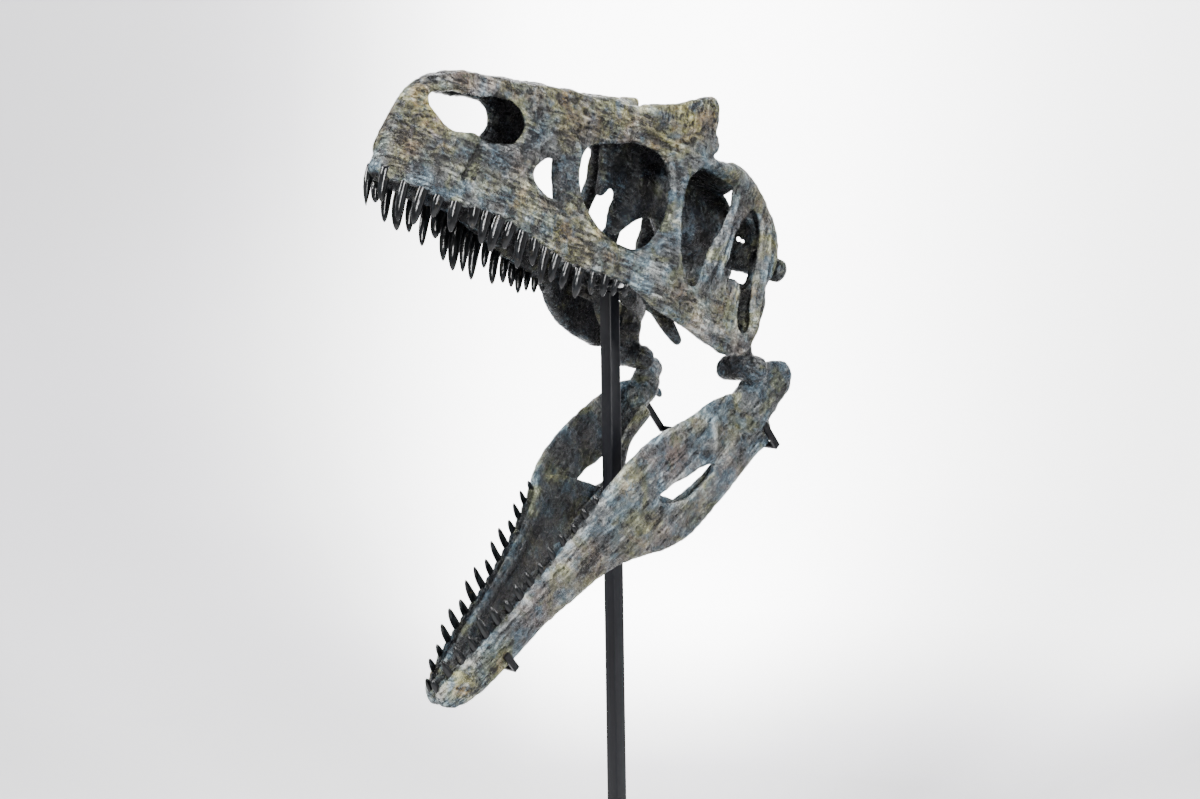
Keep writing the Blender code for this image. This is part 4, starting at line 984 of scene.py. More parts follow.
def cranium_relief(points):
    """Height of the worn surface over the smooth one, all over a side wall."""
    x, s, z = points.T
    x = abs(x)
    outer, ridge, horn, snout = cranium_zones(points)
    rough = np.maximum(np.maximum(ridge, 0.9 * horn), 0.85 * snout)
    height = wear(points)
    height += 0.012 * ridge * smooth_step(s, 0.33, 0.42) * smooth_step(0.53 - s, 0, 0.06)
    lumps = 0.0062 * (ridged(points, 0.029, 3, 5) - 0.64) + 0.0028 * layered(points, 0.024, 3, 6)
    height += rough * lumps
    low = smooth_step(0.06 - z, 0, 0.06)
    rear = smooth_step(s, 0.57, 0.62)
    height += outer * (1 - 0.7 * rough) * 0.00060 * striae(s, z, x, -0.12, 11) * (0.5 + 0.5 * low)
    height += horn * 0.0011 * striae(s, z, x, 1.25, 12)
    height += outer * rear * 0.0007 * striae(s, z, x, 1.50, 13)
    lines = relief_lines(s, z, RIDGES, FURROWS)
    for (a, b), reach, depth in PITS:
        lines -= depth * np.exp(-(((s - a) ** 2 + (z - b) ** 2) / reach**2) ** 1.5)
    edge = from_line(s, z, FOSSA, True)
    lines -= 0.0038 * smooth_step(np.where(inside(s, z, FOSSA), edge, -edge), -0.004, 0.008)
    for hole, lip in ((NARIS, 0.0014), (ORBIT, 0.0014), (TEMPORAL_FENESTRA, 0.0010)):
        lines += lip * bell(from_line(s, z, hole, True), LIP_REACH)
    for row in UPPER_TEETH.values():
        lines += root_swellings(s, z - alveolus(s), row, 0.0014, 0.008, 0.016)
    lines -= SEAM_DEPTH * bell(from_sutures(s, z, WALL_BONES, S), SEAM_REACH)
    return height + outer * lines


def jaw_relief(points):
    x, m, n = abs(points[:, 0]), -points[:, 1], points[:, 2]
    thick = jaw_thickness(m, n)
    outer = jaw_outerness(x, m, 0.75 * thick, 0.35 * thick)
    outer = np.maximum(outer, smooth_step(-n, 0.055, 0.085) * jaw_outerness(x, m, 0.02, 0.012))
    height = wear(points, 0.9)
    height += 0.00060 * striae(m, n, x, 0.08, 21) * (0.4 + 0.6 * outer)
    height += smooth_step(m, 0.60, 0.70) * 0.0022 * (ridged(points, 0.015, 3, 25) - 0.6)
    lines = relief_lines(m, n, JAW_RIDGES, JAW_FURROWS)
    up = jaw_edge(m) - n
    lines += root_swellings(m, up, DENTARY_TEETH, 0.0012, 0.006, 0.012)
    # A row of small pits below the teeth
    gap_values, _ = scattered(np.stack([m, n, 0 * m], axis=1), 0.024, 31)
    row_of_pits = bell(up - 0.018, 0.008) * smooth_step(m, 0.32, 0.36)
    lines -= 0.0022 * row_of_pits * smooth_step(0.16 - gap_values, 0, 0.12)
    lines += 0.0012 * bell(from_line(m, n, JAW_FENESTRA, True), LIP_REACH)
    lines -= SEAM_DEPTH * bell(from_sutures(m, n, JAW_BONES, J), SEAM_REACH)
    return height + outer * lines


def vertex_normals(mesh):
    normals = np.empty(len(mesh.vertices) * 3, np.float32)
    mesh.vertex_normals.foreach_get("vector", normals)
    return normals.reshape(-1, 3).astype(float)


def raised(mesh, relief):
    """The mesh with each point moved along its normal by its relief."""
    points = coordinates(mesh)
    place_points(mesh, points + vertex_normals(mesh) * relief(points)[:, None])
    return mesh


def edge_ends(mesh):
    """The numbers of the points at the first and at the second end of every edge."""
    edges = np.empty(len(mesh.edges) * 2, np.int32)
    mesh.edges.foreach_get("vertices", edges)
    return edges.reshape(-1, 2).T


def averaged(mesh, steps):
    """Each point's surroundings averaged, that many steps wide."""
    first, second = edge_ends(mesh)
    ends = np.concatenate([first, second])
    others = np.concatenate([second, first])
    count = len(mesh.vertices)
    share = 1 / np.bincount(ends, minlength=count).clip(1)
    points = coordinates(mesh)
    for _ in range(steps):
        points = np.stack([np.bincount(ends, points[others, axis], count) * share for axis in range(3)], 1)
    return points


def filleted(mesh, steps):
    """Fills the mesh's inner corners and keeps its outer ones."""
    lift = np.maximum(-hollowness(mesh, steps), 0)
    place_points(mesh, coordinates(mesh) + vertex_normals(mesh) * lift[:, None])


def fine(parts, relief, fillet=FILLET_STEPS, steps=6):
    """The parts as one finely remeshed, smoothed and worn surface."""
    rough = remeshed(joined(parts), VOXEL, 5)
    for _ in range(2 if fillet else 0):
        filleted(rough, fillet)
    return raised(remeshed(rough, FINE, steps), relief)


def cut(mesh, tool, operation):
    """The Boolean of two closed meshes, with the exact solver where the quick one gives nothing."""
    result = combined(mesh.copy(), tool.copy(), operation, "MANIFOLD")
    if not result.polygons:
        result = combined(mesh.copy(), tool.copy(), operation, "EXACT")
    return result


def main_piece(mesh):
    """The biggest connected piece of the mesh."""
    first, second = edge_ends(mesh)
    label = np.arange(len(mesh.vertices))
    while True:
        low = np.minimum(label[first], label[second])
        new = label.copy()
        np.minimum.at(new, first, low)
        np.minimum.at(new, second, low)
        new = new[new]
        if (new == label).all():
            break
        label = new
    values, sizes = np.unique(label, return_counts=True)
    if len(values) == 1:
        return mesh
    keep = values[sizes.argmax()]
    bm = bmesh.new()
    bm.from_mesh(mesh)
    bmesh.ops.delete(bm, geom=[v for v, l in zip(bm.verts, label) if l != keep], context="VERTS")
    return mesh_of(bm)


def trimmed(mesh, neighbours):
    """The mesh with its neighbours cut out of it, a gap wide."""
    for neighbour in neighbours:
        mesh = cut(mesh, grown(neighbour, CUT_GAP), "DIFFERENCE")
    return main_piece(mesh)


# ---------------------------------------------------------------- teeth

TOOTH_SIDES = 18
TOOTH_RINGS = [0.0, 0.12, 0.25, 0.40, 0.55, 0.68, 0.79, 0.88, 0.945, 0.985]


def crown(base, length, tip, width, seed):
    """A blade tooth from its base to its tip, swollen below its root and blunt at its end."""
    base = Vector(base)
    axis = Vector(tip) - base
    back = Vector((0, 0.18 * length, 0))
    breadth = width * 0.66
    across = axis.cross(back).normalized()
    lengthwise = across.cross(axis).normalized()
    bm = bmesh.new()
    rings = []
    for share in TOOTH_RINGS:
        thick = (1 - share**3.2) ** 0.55 * (1 + 0.06 * math.sin(3.0 * share + seed))
        centre = base + axis * share - back * (share * (1 - share) * 1.25)
        ring = []
        for k in range(TOOTH_SIDES):
            angle = 2 * math.pi * k / TOOTH_SIDES
            flute = 1 + 0.025 * math.cos(5 * angle + seed)
            offset = lengthwise * (width / 2 * math.cos(angle) * (1 + 0.06 * math.cos(angle) ** 8))
            offset += across * (breadth / 2 * math.sin(angle) * flute)
            ring.append(bm.verts.new(centre + offset * thick))
        rings.append(ring)
    point = bm.verts.new(base + axis)
    side_faces(bm, rings)
    for k in range(TOOTH_SIDES):
        bm.faces.new((rings[-1][k], rings[-1][(k + 1) % TOOTH_SIDES], point))
    bm.faces.new(rings[0])
    return finished_bmesh(bm)


def tooth_places(row):
    """The teeth of a row: number, and place along it."""
    count, first, last, _ = row
    return [(i, first + (last - first) * i / (count - 1)) for i in range(count)]


def upper_crowns(row, side):
    teeth = []
    for i, s in tooth_places(row):
        x = float(half_width(s, 0.0)) - row[3]
        z = float(alveolus(s))
        x, s = flare_point(x, s)
        length = upper_tooth_length(s, i, side)
        width = np.interp(s, [0.0, 0.2, 0.5], [0.018, 0.0225, 0.0145])
        width *= 1 + 0.10 * math.sin(2.9 * i + side)
        sway = 0.0038 * math.sin(5.1 * i + 1.3 * side)
        tip = (x - 0.004 + 0.6 * sway, s + 0.10 * length + sway, z - length)
        teeth.append(crown((x, s, z + TOOTH_ROOT), length, tip, width, i + 3 * side))
    return joined(teeth)


def lower_crowns(row, side):
    teeth = []
    for i, m in tooth_places(row):
        x = float(jaw_half_width(m)) - row[3]
        n = float(jaw_edge(m))
        full = np.interp(m, LOWER_LENGTH_M, LOWER_LENGTHS[side])
        length = full * (1.0 - 0.25 * (math.sin(2.1 * i + 2.0 * side) > 0.5))
        width = np.interp(m, [0.33, 0.6, 0.73], [0.0115, 0.015, 0.0125])
        tip = (x - 0.002, -(m - 0.16 * length), n + length)
        teeth.append(crown((x, -m, n - TOOTH_ROOT), length, tip, width, i + 5 * side))
    return joined(teeth)


def plates_between_teeth(row):
    """The low plates that stand between the lower teeth, along the inner side of their row."""
    count, first, last, depth = row
    bm = bmesh.new()
    rings = []
    for m in np.linspace(first - 0.006, last + 0.002, 10 * count):
        turn = (m - first) / (last - first) * (count - 1)
        x = float(jaw_half_width(m)) - depth - 0.0055
        edge = float(jaw_edge(m))
        top = edge + 0.0085 - 0.0030 * math.cos(2 * math.pi * turn)
        section = [(-0.0025, edge - 0.010), (0.0025, edge - 0.010), (0.0022, top - 0.002), (0.0008, top),
                   (-0.0008, top), (-0.0022, top - 0.002)]
        rings.append([bm.verts.new((x + dx, -m, n)) for dx, n in section])
    side_faces(bm, rings)
    bm.faces.new(rings[0])
    bm.faces.new(rings[-1])
    return finished_bmesh(bm)


# ---------------------------------------------------------------- pieces

OCHRE_BONES = ("nasal", "lacrimal", "postorbital")


def unflared(points):
    """Cranium points as they were before the skull widened behind the snout."""
    x, s = points[:, 0].copy(), points[:, 1].copy()
    for _ in range(4):
        share = smooth_step(s, FLARE_START, FLARE_END)
        x = points[:, 0] / (1 + FLARE_OUT * share)
        s = points[:, 1] + FLARE_FORWARD * abs(x) * share
    return np.stack([x, s, points[:, 2]], axis=1)


def store(mesh, name, values):
    """Keeps a value for each point of the mesh, for its material."""
    layer = mesh.attributes.new(name, "FLOAT", "POINT")
    layer.data.foreach_set("value", values.astype(np.float32))


def hollowness(mesh, steps):
    """How far each point stands over the average of its surroundings, that many steps wide."""
    return ((coordinates(mesh) - averaged(mesh, steps)) * vertex_normals(mesh)).sum(axis=1)


def painted(mesh, flow, zones):
    """Stores on each point what the paint needs: relief for painted shade in hollows and painted highlight
    on raised edges, place, and how much of each colour it has.
    """
    mesh.update()
    # Painted shade and highlight: hollows darker and raised edges paler, near over a few steps, wide over
    # many
    near = hollowness(mesh, 3) / 0.00035
    wide = hollowness(mesh, 24) / 0.0022
    for name, values in {"near": near, "wide": wide, **zones}.items():
        store(mesh, name, np.clip(values, -1, 1.5))
    layer = mesh.attributes.new("flow", "FLOAT_VECTOR", "POINT")
    layer.data.foreach_set("vector", flow.astype(np.float32).ravel())
    return mesh


def blob(a, b, spots):
    """How much of a patch each place has, from spots of (a, b), reach and strength."""
    total = np.zeros(len(a))
    for (a0, b0), reach, strength in spots:
        total = np.maximum(total, strength * np.exp(-((a - a0) ** 2 + (b - b0) ** 2) / reach**2))
    return total


def spots(table):
    """Patches as (a, b), reach and strength, from millimetres and hundredths."""
    return [(metres((a, b)), metres(reach), strength / 100) for a, b, reach, strength in table]


# Patches of colour on the cranium and on the jaw: place, reach, strength
OCHRE_SPOTS = spots([
    (50, 130, 55, 80), (20, 70, 30, 45), (80, 95, 35, 60), (180, 60, 30, 45), (260, 60, 50, 55),
    (340, 40, 50, 65), (400, 60, 30, 60), (200, 205, 40, 55), (300, 250, 60, 75), (400, 262, 55, 70),
    (500, 252, 40, 80), (540, 300, 45, 85), (590, 320, 35, 80), (640, 220, 30, 55), (600, -20, 50, 50),
    (690, 10, 40, 60), (720, 205, 40, 50), (735, 60, 30, 50), (450, 20, 45, 50), (780, 0, 40, 35),
    (770, 160, 35, 45),
])
PINK_SPOTS = spots([
    (35, 78, 22, 90), (60, 115, 26, 70), (100, 200, 30, 70), (150, 222, 30, 50), (330, 215, 40, 55),
    (440, 245, 40, 50), (560, 285, 30, 55), (240, 110, 30, 40), (600, 10, 25, 55), (700, 150, 35, 45),
    (650, -30, 35, 40), (745, -35, 30, 45), (380, 20, 30, 35), (30, 45, 20, 35),
])
PALE_SPOTS = spots([
    (20, 50, 30, 75), (90, 60, 40, 65), (165, 45, 26, 90), (220, 60, 40, 60), (150, 210, 40, 50),
    (350, 150, 40, 40), (545, 120, 30, 50), (660, 120, 30, 45), (500, 20, 60, 45), (620, -10, 50, 40),
    (760, 120, 35, 45), (300, 50, 50, 50),
])
JAW_OCHRE = spots([
    (700, 12, 30, 85), (278, 50, 30, 60), (640, 0, 30, 50), (200, -105, 40, 40), (440, -10, 50, 35),
    (60, -40, 40, 40), (320, -50, 50, 40), (120, 30, 30, 35),
])
JAW_PINK = spots([
    (183, 14, 30, 80), (400, -10, 40, 50), (90, -100, 40, 45), (520, 10, 50, 45), (280, -80, 40, 45),
    (230, 50, 25, 40),
])
# Pale patches on the jaw, painted as highlight on its outer face
JAW_PALE = spots([
    (650, 20, 60, 45), (480, 10, 60, 50), (330, 30, 40, 50), (150, -100, 60, 45), (100, 10, 40, 40),
    (250, -100, 40, 40),
])


def cranium_paint(mesh, wall):
    points = unflared(coordinates(mesh))
    x, s, z = points.T
    outer, ridge, horn, _ = cranium_zones(points)
    # Painted shade: the bones inside the skull are painted darker than the outer faces
    if not wall:
        outer = 0.30 + 0 * outer
    gap = from_sutures(s, z, WALL_BONES, S) if wall else FAR + 0 * s
    rear = smooth_step(s, 0.45, 0.60)
    return painted(mesh, np.stack([s, z, x], axis=1), {
        "ochre": np.maximum(blob(s, z, OCHRE_SPOTS), 0.35 * ridge) * (0.25 + 0.75 * outer),
        "pink": blob(s, z, PINK_SPOTS) * (0.25 + 0.75 * outer),
        "pale": (blob(s, z, PALE_SPOTS) + 0.5 * rear) * outer,
        "seam": bell(gap, 0.0026),
        "outer": outer,
        "lively": 1 - 0.35 * rear * (1 - horn),
        "upright": np.maximum(smooth_step(s, 0.55, 0.60) * smooth_step(z, 0.0, 0.05), horn),
    })


def jaw_paint(mesh, wall):
    points = coordinates(mesh)
    x, m, n = abs(points[:, 0]), -points[:, 1], points[:, 2]
    outer = jaw_outerness(x, m, 0.014, 0.006) if wall else 0.5 + 0 * m
    gap = from_sutures(m, n, JAW_BONES, J) if wall else FAR + 0 * m
    # Painted highlight: rim is a band along the jaw's top edge, below the teeth, painted paler
    rim = smooth_step(0.022 - (jaw_edge(m) - n), 0, 0.014)
    return painted(mesh, np.stack([m, n, x], axis=1), {
        "ochre": blob(m, n, JAW_OCHRE) * (0.3 + 0.7 * outer),
        "pink": blob(m, n, JAW_PINK) * (0.3 + 0.7 * outer),
        "pale": (0.7 + blob(m, n, JAW_PALE)) * outer + 0.5 * outer * rim,
        "seam": bell(gap, 0.0022),
        # Painted shade: the jaw's inner face and the bones inside it are painted darker
        "outer": 0.72 + 0.28 * outer,
        "lively": 0.65 + 0.35 * smooth_step(m, 0.60, 0.70),
        "upright": 0 * m,
    })


def piece(name, mesh, place, material, slot_name, *nodes):
    """Sets a mesh in the world as a piece of the model that stands for the named nodes."""
    if place.determinant() < 0:
        raise ValueError(name)
    mesh.transform(place)
    place_points(mesh, np.clip(coordinates(mesh), *(np.array(corner) for corner in CAD_BOUNDS)))
    mesh.polygons.foreach_set("use_smooth", np.ones(len(mesh.polygons), bool))
    mesh.materials.clear()
    mesh.materials.append(material)
    mesh.name = name
    obj = linked(mesh, name)
    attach(obj, "root")
    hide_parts(*nodes)


def fine_outer_cranium(side):
    whole = fine(outer_cranium_parts(side), cranium_relief)
    return cut(flared(whole), left_of_midline(cranium_axes), "INTERSECT")


def fine_parted(mesh, bones, corners, axes, flare=False):
    """The mesh cut along its sutures: each bone's name and its mesh."""
    pieces = {}
    for bone, names in bones.items():
        outline = wavy(names, corners)
        if flare:
            outline = [(flare_point(float(half_width(s, z)), s)[1], z) for s, z in outline]
        block = prism(inset(outline, SUTURE_GAP), -0.25, 0.35, axes)
        pieces[bone] = main_piece(cut(mesh, block, "INTERSECT"))
    return pieces


def inner_bone(parts, relief=worn(0.7)):
    return flared(fine(parts, relief))


def rugged(points):
    """The rough relief of the bones at the jaw joint."""
    return wear(points, 1.4) + 0.0024 * (ridged(points, 0.015, 3, 41) - 0.62)


def build_cranium(place, bone, enamel):
    """The pieces of the cranium. Gives the left and right quadrates, which the jaw's cuts need."""
    outer = {side: fine_outer_cranium(side) for side in SIDES}
    midline = inner_bone(midline_parts(), worn())
    midline = trimmed(midline, [on_side(outer[side], side) for side in SIDES])
    for name, mesh in fine_parted(midline, MIDLINE_BONES, S, cranium_axes).items():
        if name != "frontal":
            piece(f"{name}_fine", cranium_paint(mesh, False), place, bone, "dark_bone", name)
            continue
        for side, suffix in SIDES.items():
            half = main_piece(cut(mesh, on_side(left_of_midline(cranium_axes), side), "INTERSECT"))
            node = f"{name}_{suffix}"
            piece(f"{node}_fine", cranium_paint(half, False), place, bone, "fossil_bone", node)
    joint = {}
    palate = []
    saddle = world_mesh(saddle_plate(), place.inverted())
    for side, suffix in SIDES.items():
        wall = outer[side]
        joint[side] = trimmed(inner_bone(quadrate_parts(), rugged), [wall, midline])
        inner = {"quadrate": joint[side]}
        inner["pterygoid"] = trimmed(inner_bone(pterygoid_parts()), [wall, midline, joint[side], saddle])
        inner["ectopterygoid"] = trimmed(inner_bone(ectopterygoid_parts()), [wall, inner["pterygoid"]])
        inner["palatine"] = trimmed(inner_bone(palatine_parts()), [wall, inner["pterygoid"]])
        palate += [on_side(inner["pterygoid"], side), on_side(wall, side)]
        for name, mesh in fine_parted(wall, WALL_BONES, S, cranium_axes, True).items():
            node = f"{name}_{suffix}"
            slot_name = "ochre_bone" if name in OCHRE_BONES else "fossil_bone"
            shown = cranium_paint(on_side(mesh, side), True)
            piece(f"{node}_fine", shown, place, bone, slot_name, node)
            if name in UPPER_TEETH:
                teeth = on_side(upper_crowns(UPPER_TEETH[name], side), side)
                piece(f"{node}_teeth", teeth, place, enamel, slot_name, node)
        for name, mesh in inner.items():
            node = f"{name}_{suffix}"
            shown = cranium_paint(on_side(mesh.copy(), side), False)
            piece(f"{node}_fine", shown, place, bone, "dark_bone", node)
    bar = trimmed(fine(vomer_parts(), worn(0.6), 0), palate)
    piece("vomer_fine", cranium_paint(bar, False), place, bone, "dark_bone", "vomer")
    return joint


def fine_outer_jaw(side):
    whole = fine([jaw_wall(jaw_outline(side), [JAW_FENESTRA])], jaw_relief, 0)
    return cut(whole, left_of_midline(jaw_axes), "INTERSECT")


def build_jaw(place, bone, enamel, joint):
    """The pieces of the jaw, cut clear of the quadrates that it hangs from."""
    for side, suffix in SIDES.items():
        condyle = world_mesh(joint[side], place.inverted() @ cranium_place())
        wall = trimmed(fine_outer_jaw(side), [condyle])
        hinge = trimmed(fine(articular_parts(side), rugged, 0), [wall, condyle])
        inner = trimmed(fine(prearticular_parts(side), worn(0.5), 0, 3), [wall, hinge])
        plate = trimmed(fine(splenial_parts(), worn(0.5), 0, 3), [wall, inner])
        for name, mesh in fine_parted(wall, JAW_BONES, J, jaw_axes).items():
            node = f"{name}_{suffix}"
            slot_name = "pale_bone" if name == "dentary" else "fossil_bone"
            piece(f"{node}_fine", jaw_paint(on_side(mesh, side), True), place, bone, slot_name, node)
            if name == "dentary":
                teeth = on_side(lower_crowns(DENTARY_TEETH, side), side)
                piece(f"{node}_teeth", teeth, place, enamel, slot_name, node)
                plates = jaw_paint(on_side(plates_between_teeth(DENTARY_TEETH), side), False)
                # Painted shade: the plates deep between the teeth take the darkest inner-face tone, with no
                # hollow shade or edge highlight
                painted_shade = np.zeros(len(plates.vertices), np.float32)
                for attribute in ("near", "wide", "outer"):
                    plates.attributes[attribute].data.foreach_set("value", painted_shade)
                piece(f"{node}_plates", plates, place, bone, slot_name, node)
        for name, mesh, slot_name in (
            ("articular", hinge, "fossil_bone"), ("prearticular", inner, "dark_bone"),
            ("splenial", plate, "dark_bone"),
        ):
            node = f"{name}_{suffix}"
            shown = jaw_paint(on_side(mesh.copy(), side), False)
            piece(f"{node}_fine", shown, place, bone, slot_name, node)


def soft_post(steel):
    """The square tube with its rolled corners."""
    height = POST_TOP - BASE_THICK - GAP
    tube = rounded_box((POST_SIDE, POST_SIDE, height), (0, 0, POST_TOP - height / 2), 0.0032, 5)
    piece("post_tube", tube, Matrix.Identity(4), steel, "stand_steel", "stand_post")


# ---------------------------------------------------------------- materials

# Dark, middle and pale bone: its ground, then its blue, olive, pink, ochre and rust tints
BONE_SHADES = [
    ((0.0025, 0.003, 0.0035), (0.002, 0.003, 0.005), (0.003, 0.003, 0.002), (0.007, 0.005, 0.004),
     (0.007, 0.006, 0.002), (0.010, 0.006, 0.002)),
    ((0.033, 0.037, 0.040), (0.024, 0.041, 0.055), (0.039, 0.042, 0.021), (0.092, 0.064, 0.052),
     (0.084, 0.078, 0.023), (0.108, 0.073, 0.022)),
    ((0.260, 0.275, 0.270), (0.200, 0.265, 0.300), (0.265, 0.270, 0.160), (0.350, 0.260, 0.210),
     (0.330, 0.305, 0.100), (0.370, 0.265, 0.085)),
]


class Tree:
    """A material's node tree, with one call a node."""

    def __init__(self, name, specular=None):
        self.material = bpy.data.materials.new(name)
        self.material.use_nodes = True
        self.nodes = self.material.node_tree.nodes
        self.shader = self.nodes["Principled BSDF"]
        if specular is not None:
            self.shader.inputs["Specular IOR Level"].default_value = specular

    def give(self, socket, value):
        """Links an output to the socket, or sets its value; colours are given as three numbers."""
        if isinstance(value, bpy.types.NodeSocket):
            self.material.node_tree.links.new(value, socket)
        else:
            socket.default_value = (*value, 1) if socket.type == "RGBA" else value

    def shade(self, **values):
        """Gives the shader its values; underscores stand for spaces."""
        for name, value in values.items():
            self.give(self.shader.inputs[name.replace("_", " ")], value)

    def add(self, kind, out, inputs, **settings):
        """One output of a new node with these settings and inputs."""
        node = self.nodes.new("ShaderNode" + kind)
        for name, value in settings.items():
            setattr(node, name, value)
        for name, value in inputs.items():
            self.give(node.inputs[name], value)
        return node.outputs[out]

    def attribute(self, name, out="Fac"):
        return self.add("Attribute", out, {}, attribute_name=name)

    def place(self, scale=(1, 1, 1), turn=(0, 0, 0), source=None):
        """The point in metres, stretched and turned: the object's own, or a stored one."""
        here = self.attribute(source, "Vector") if source else self.add("TexCoord", "Object", {})
        return self.add("Mapping", "Vector", {"Vector": here, "Scale": scale, "Rotation": turn})

    def noise(self, size, detail=5.0, rough=0.6, where=None, warp=0.0):
        return self.add("TexNoise", "Fac", {
            "Vector": where or self.place(), "Scale": 1 / size, "Detail": detail, "Roughness": rough,
            "Distortion": warp,
        })

    def math(self, operation, a, b=0.0):
        return self.add("Math", 0, {0: a, 1: b}, operation=operation)

    def centred(self, value):
        return self.math("SUBTRACT", value, 0.5)

    def sum(self, *terms):
        """The sum of the values, each times its share."""
        total, *others = [self.math("MULTIPLY", value, share) for value, share in terms]
        for term in others:
            total = self.math("ADD", total, term)
        return total

    def mixed(self, share, a, b):
        return self.math("ADD", a, self.math("MULTIPLY", share, self.math("SUBTRACT", b, a)))

    def span(self, value, low, high, to_low=0.0, to_high=1.0):
        """The value taken smoothly from its span to the other."""
        return self.add("MapRange", "Result", {
            "Value": value, "From Min": low, "From Max": high, "To Min": to_low, "To Max": to_high,
        }, interpolation_type="SMOOTHSTEP")

    def line(self, value, width):
        """1 along the lines where the noise is at its middle value."""
        return self.span(self.math("ABSOLUTE", self.centred(value)), 0.0, width, 1.0, 0.0)

    def blend(self, share, a, b):
        return self.add("Mix", "Result", {"Factor": share, "A": a, "B": b}, data_type="RGBA")

    def bump(self, height, distance, strength=1.0, **below):
        inputs = {"Strength": strength, "Distance": distance, "Height": height, **below}
        return self.add("Bump", "Normal", inputs)


def bone_material():
    """Dark slate bone with paler fibres and grain, stained ochre, olive, blue and pink in patches, with
    painted shade in hollows and on inner faces and painted highlight on raised edges.
    """
    t = Tree("fossil_bone_worn", 0.22)
    near, wide, outer = t.attribute("near"), t.attribute("wide"), t.attribute("outer")
    cloud = t.noise(0.050, 4, 0.6)
    mottle = t.noise(0.015, 8, 0.70, warp=0.9)
    grain = t.noise(0.0032, 6, 0.70, warp=0.8)
    rising, falling, upright = (
        t.noise(0.0055, 7, 0.68, t.place(scale, (0, 0, turn), "flow"), 0.5)
        for scale, turn in (((0.14, 1, 0.5), 0.30), ((0.14, 1, 0.5), -0.40), ((1, 0.14, 0.5), 0.08))
    )
    fibre = t.mixed(t.span(t.noise(0.070, 3, 0.5), 0.44, 0.56), rising, falling)
    fibre = t.mixed(t.span(t.attribute("upright"), 0.2, 0.8), fibre, upright)
    ridge = t.line(t.noise(0.020, 5, 0.62, t.place((0.35, 1, 0.6), (0, 0, 0.20), "flow"), 1.6), 0.030)
    furrow = t.line(t.noise(0.017, 5, 0.62, t.place((0.45, 1, 0.7), (0, 0, -0.25), "flow"), 1.8), 0.026)
    crack = t.line(t.noise(0.030, 2, 0.5, warp=1.2), 0.010)
    crack = t.math("MULTIPLY", crack, t.span(cloud, 0.46, 0.60))

    # How pale each place is: fibres and grain paler, painted highlight on raised edges, painted shade in
    # hollows and on inner faces
    tone = t.sum((t.centred(fibre), 2.9), (t.centred(mottle), 1.1), (ridge, 0.20), (furrow, -0.24),
                 (t.centred(grain), 1.5))
    # near and wide give painted highlight on raised edges and painted shade in hollows; seam and crack
    # darken joints and cracks
    tone = t.sum((tone, t.attribute("lively")), (t.centred(cloud), 1.3), (near, 0.13),
                 (t.math("MINIMUM", wide, 0.3), 0.34), (t.attribute("pale"), 0.20),
                 (t.attribute("seam"), -0.16), (crack, -0.25))
    # Painted shade: faces turned inwards, away from the outer surface, darker
    tone = t.math("ADD", tone, t.span(outer, 0.0, 0.9, -0.38, -0.10))

    # Three shades of each stain, and where each stain lies
    blue = t.span(t.noise(0.034, 4, 0.6), 0.44, 0.58)
    olive = t.span(t.noise(0.055, 4, 0.6, warp=0.6), 0.52, 0.62, 0, 0.8)
    pink = t.math("MULTIPLY", t.attribute("pink"), t.span(t.noise(0.021, 6, 0.65, warp=0.8), 0.38, 0.53))
    ochre = t.math("MULTIPLY", t.attribute("ochre"), t.span(t.noise(0.019, 7, 0.7, warp=1.0), 0.39, 0.53))
    rust = t.span(t.noise(0.030, 3, 0.5), 0.50, 0.62)
    shades = []
    for ground, blue_tint, olive_tint, pink_tint, ochre_tint, rust_tint in BONE_SHADES:
        shade = t.blend(olive, t.blend(blue, ground, blue_tint), olive_tint)
        shade = t.blend(pink, shade, pink_tint)
        shades.append(t.blend(ochre, shade, t.blend(rust, ochre_tint, rust_tint)))
    colour = t.blend(t.span(tone, -0.26, 0.12), shades[0], shades[1])
    colour = t.blend(t.span(tone, 0.13, 0.74), colour, shades[2])

    gloss = t.span(t.sum((mottle, 1.0), (grain, 0.4)), 0.5, 0.95, 0.13, 0.40)
    height = t.sum((mottle, 0.9), (fibre, 0.9), (ridge, 0.10), (furrow, -0.14), (crack, -0.25))
    bumps = t.bump(grain, 0.0040, Normal=t.bump(height, 0.0140))
    t.shade(Base_Color=colour, Roughness=gloss, Normal=bumps)
    return t.material


def enamel_material():
    """Near-black polished enamel with faint bands and lengthwise cracks."""
    t = Tree("tooth_enamel", 0.20)
    streak = t.noise(0.0040, 5, 0.65, t.place((1, 1, 0.16)), 0.4)
    cloud = t.noise(0.012, 4, 0.6)
    colour = t.blend(t.span(streak, 0.44, 0.70), (0.0008, 0.0009, 0.0010), (0.0045, 0.0052, 0.0060))
    colour = t.blend(t.span(cloud, 0.60, 0.74, 0, 0.5), colour, (0.030, 0.026, 0.018))
    height = t.sum((streak, 1.0), (cloud, 0.6))
    gloss = t.span(cloud, 0.35, 0.7, 0.07, 0.15)
    t.shade(Base_Color=colour, Roughness=gloss, Normal=t.bump(height, 0.0005, 0.5))
    return t.material


def steel_material(name, colour, roughness):
    """Powder-coated steel: a fine orange-peel skin, faint dust and rubbed places."""
    t = Tree(name, 0.12)
    skin = t.noise(0.0011, 3, 0.5)
    dust = t.noise(0.030, 6, 0.6, t.place((1, 1, 0.35)))
    base = t.blend(t.span(dust, 0.45, 0.75, 0, 0.5), colour, tuple(1.6 * c for c in colour))
    gloss = t.span(dust, 0.35, 0.7, roughness - 0.05, roughness + 0.07)
    t.shade(Base_Color=base, Roughness=gloss, Normal=t.bump(skin, 0.00015, 0.35))
    return t.material


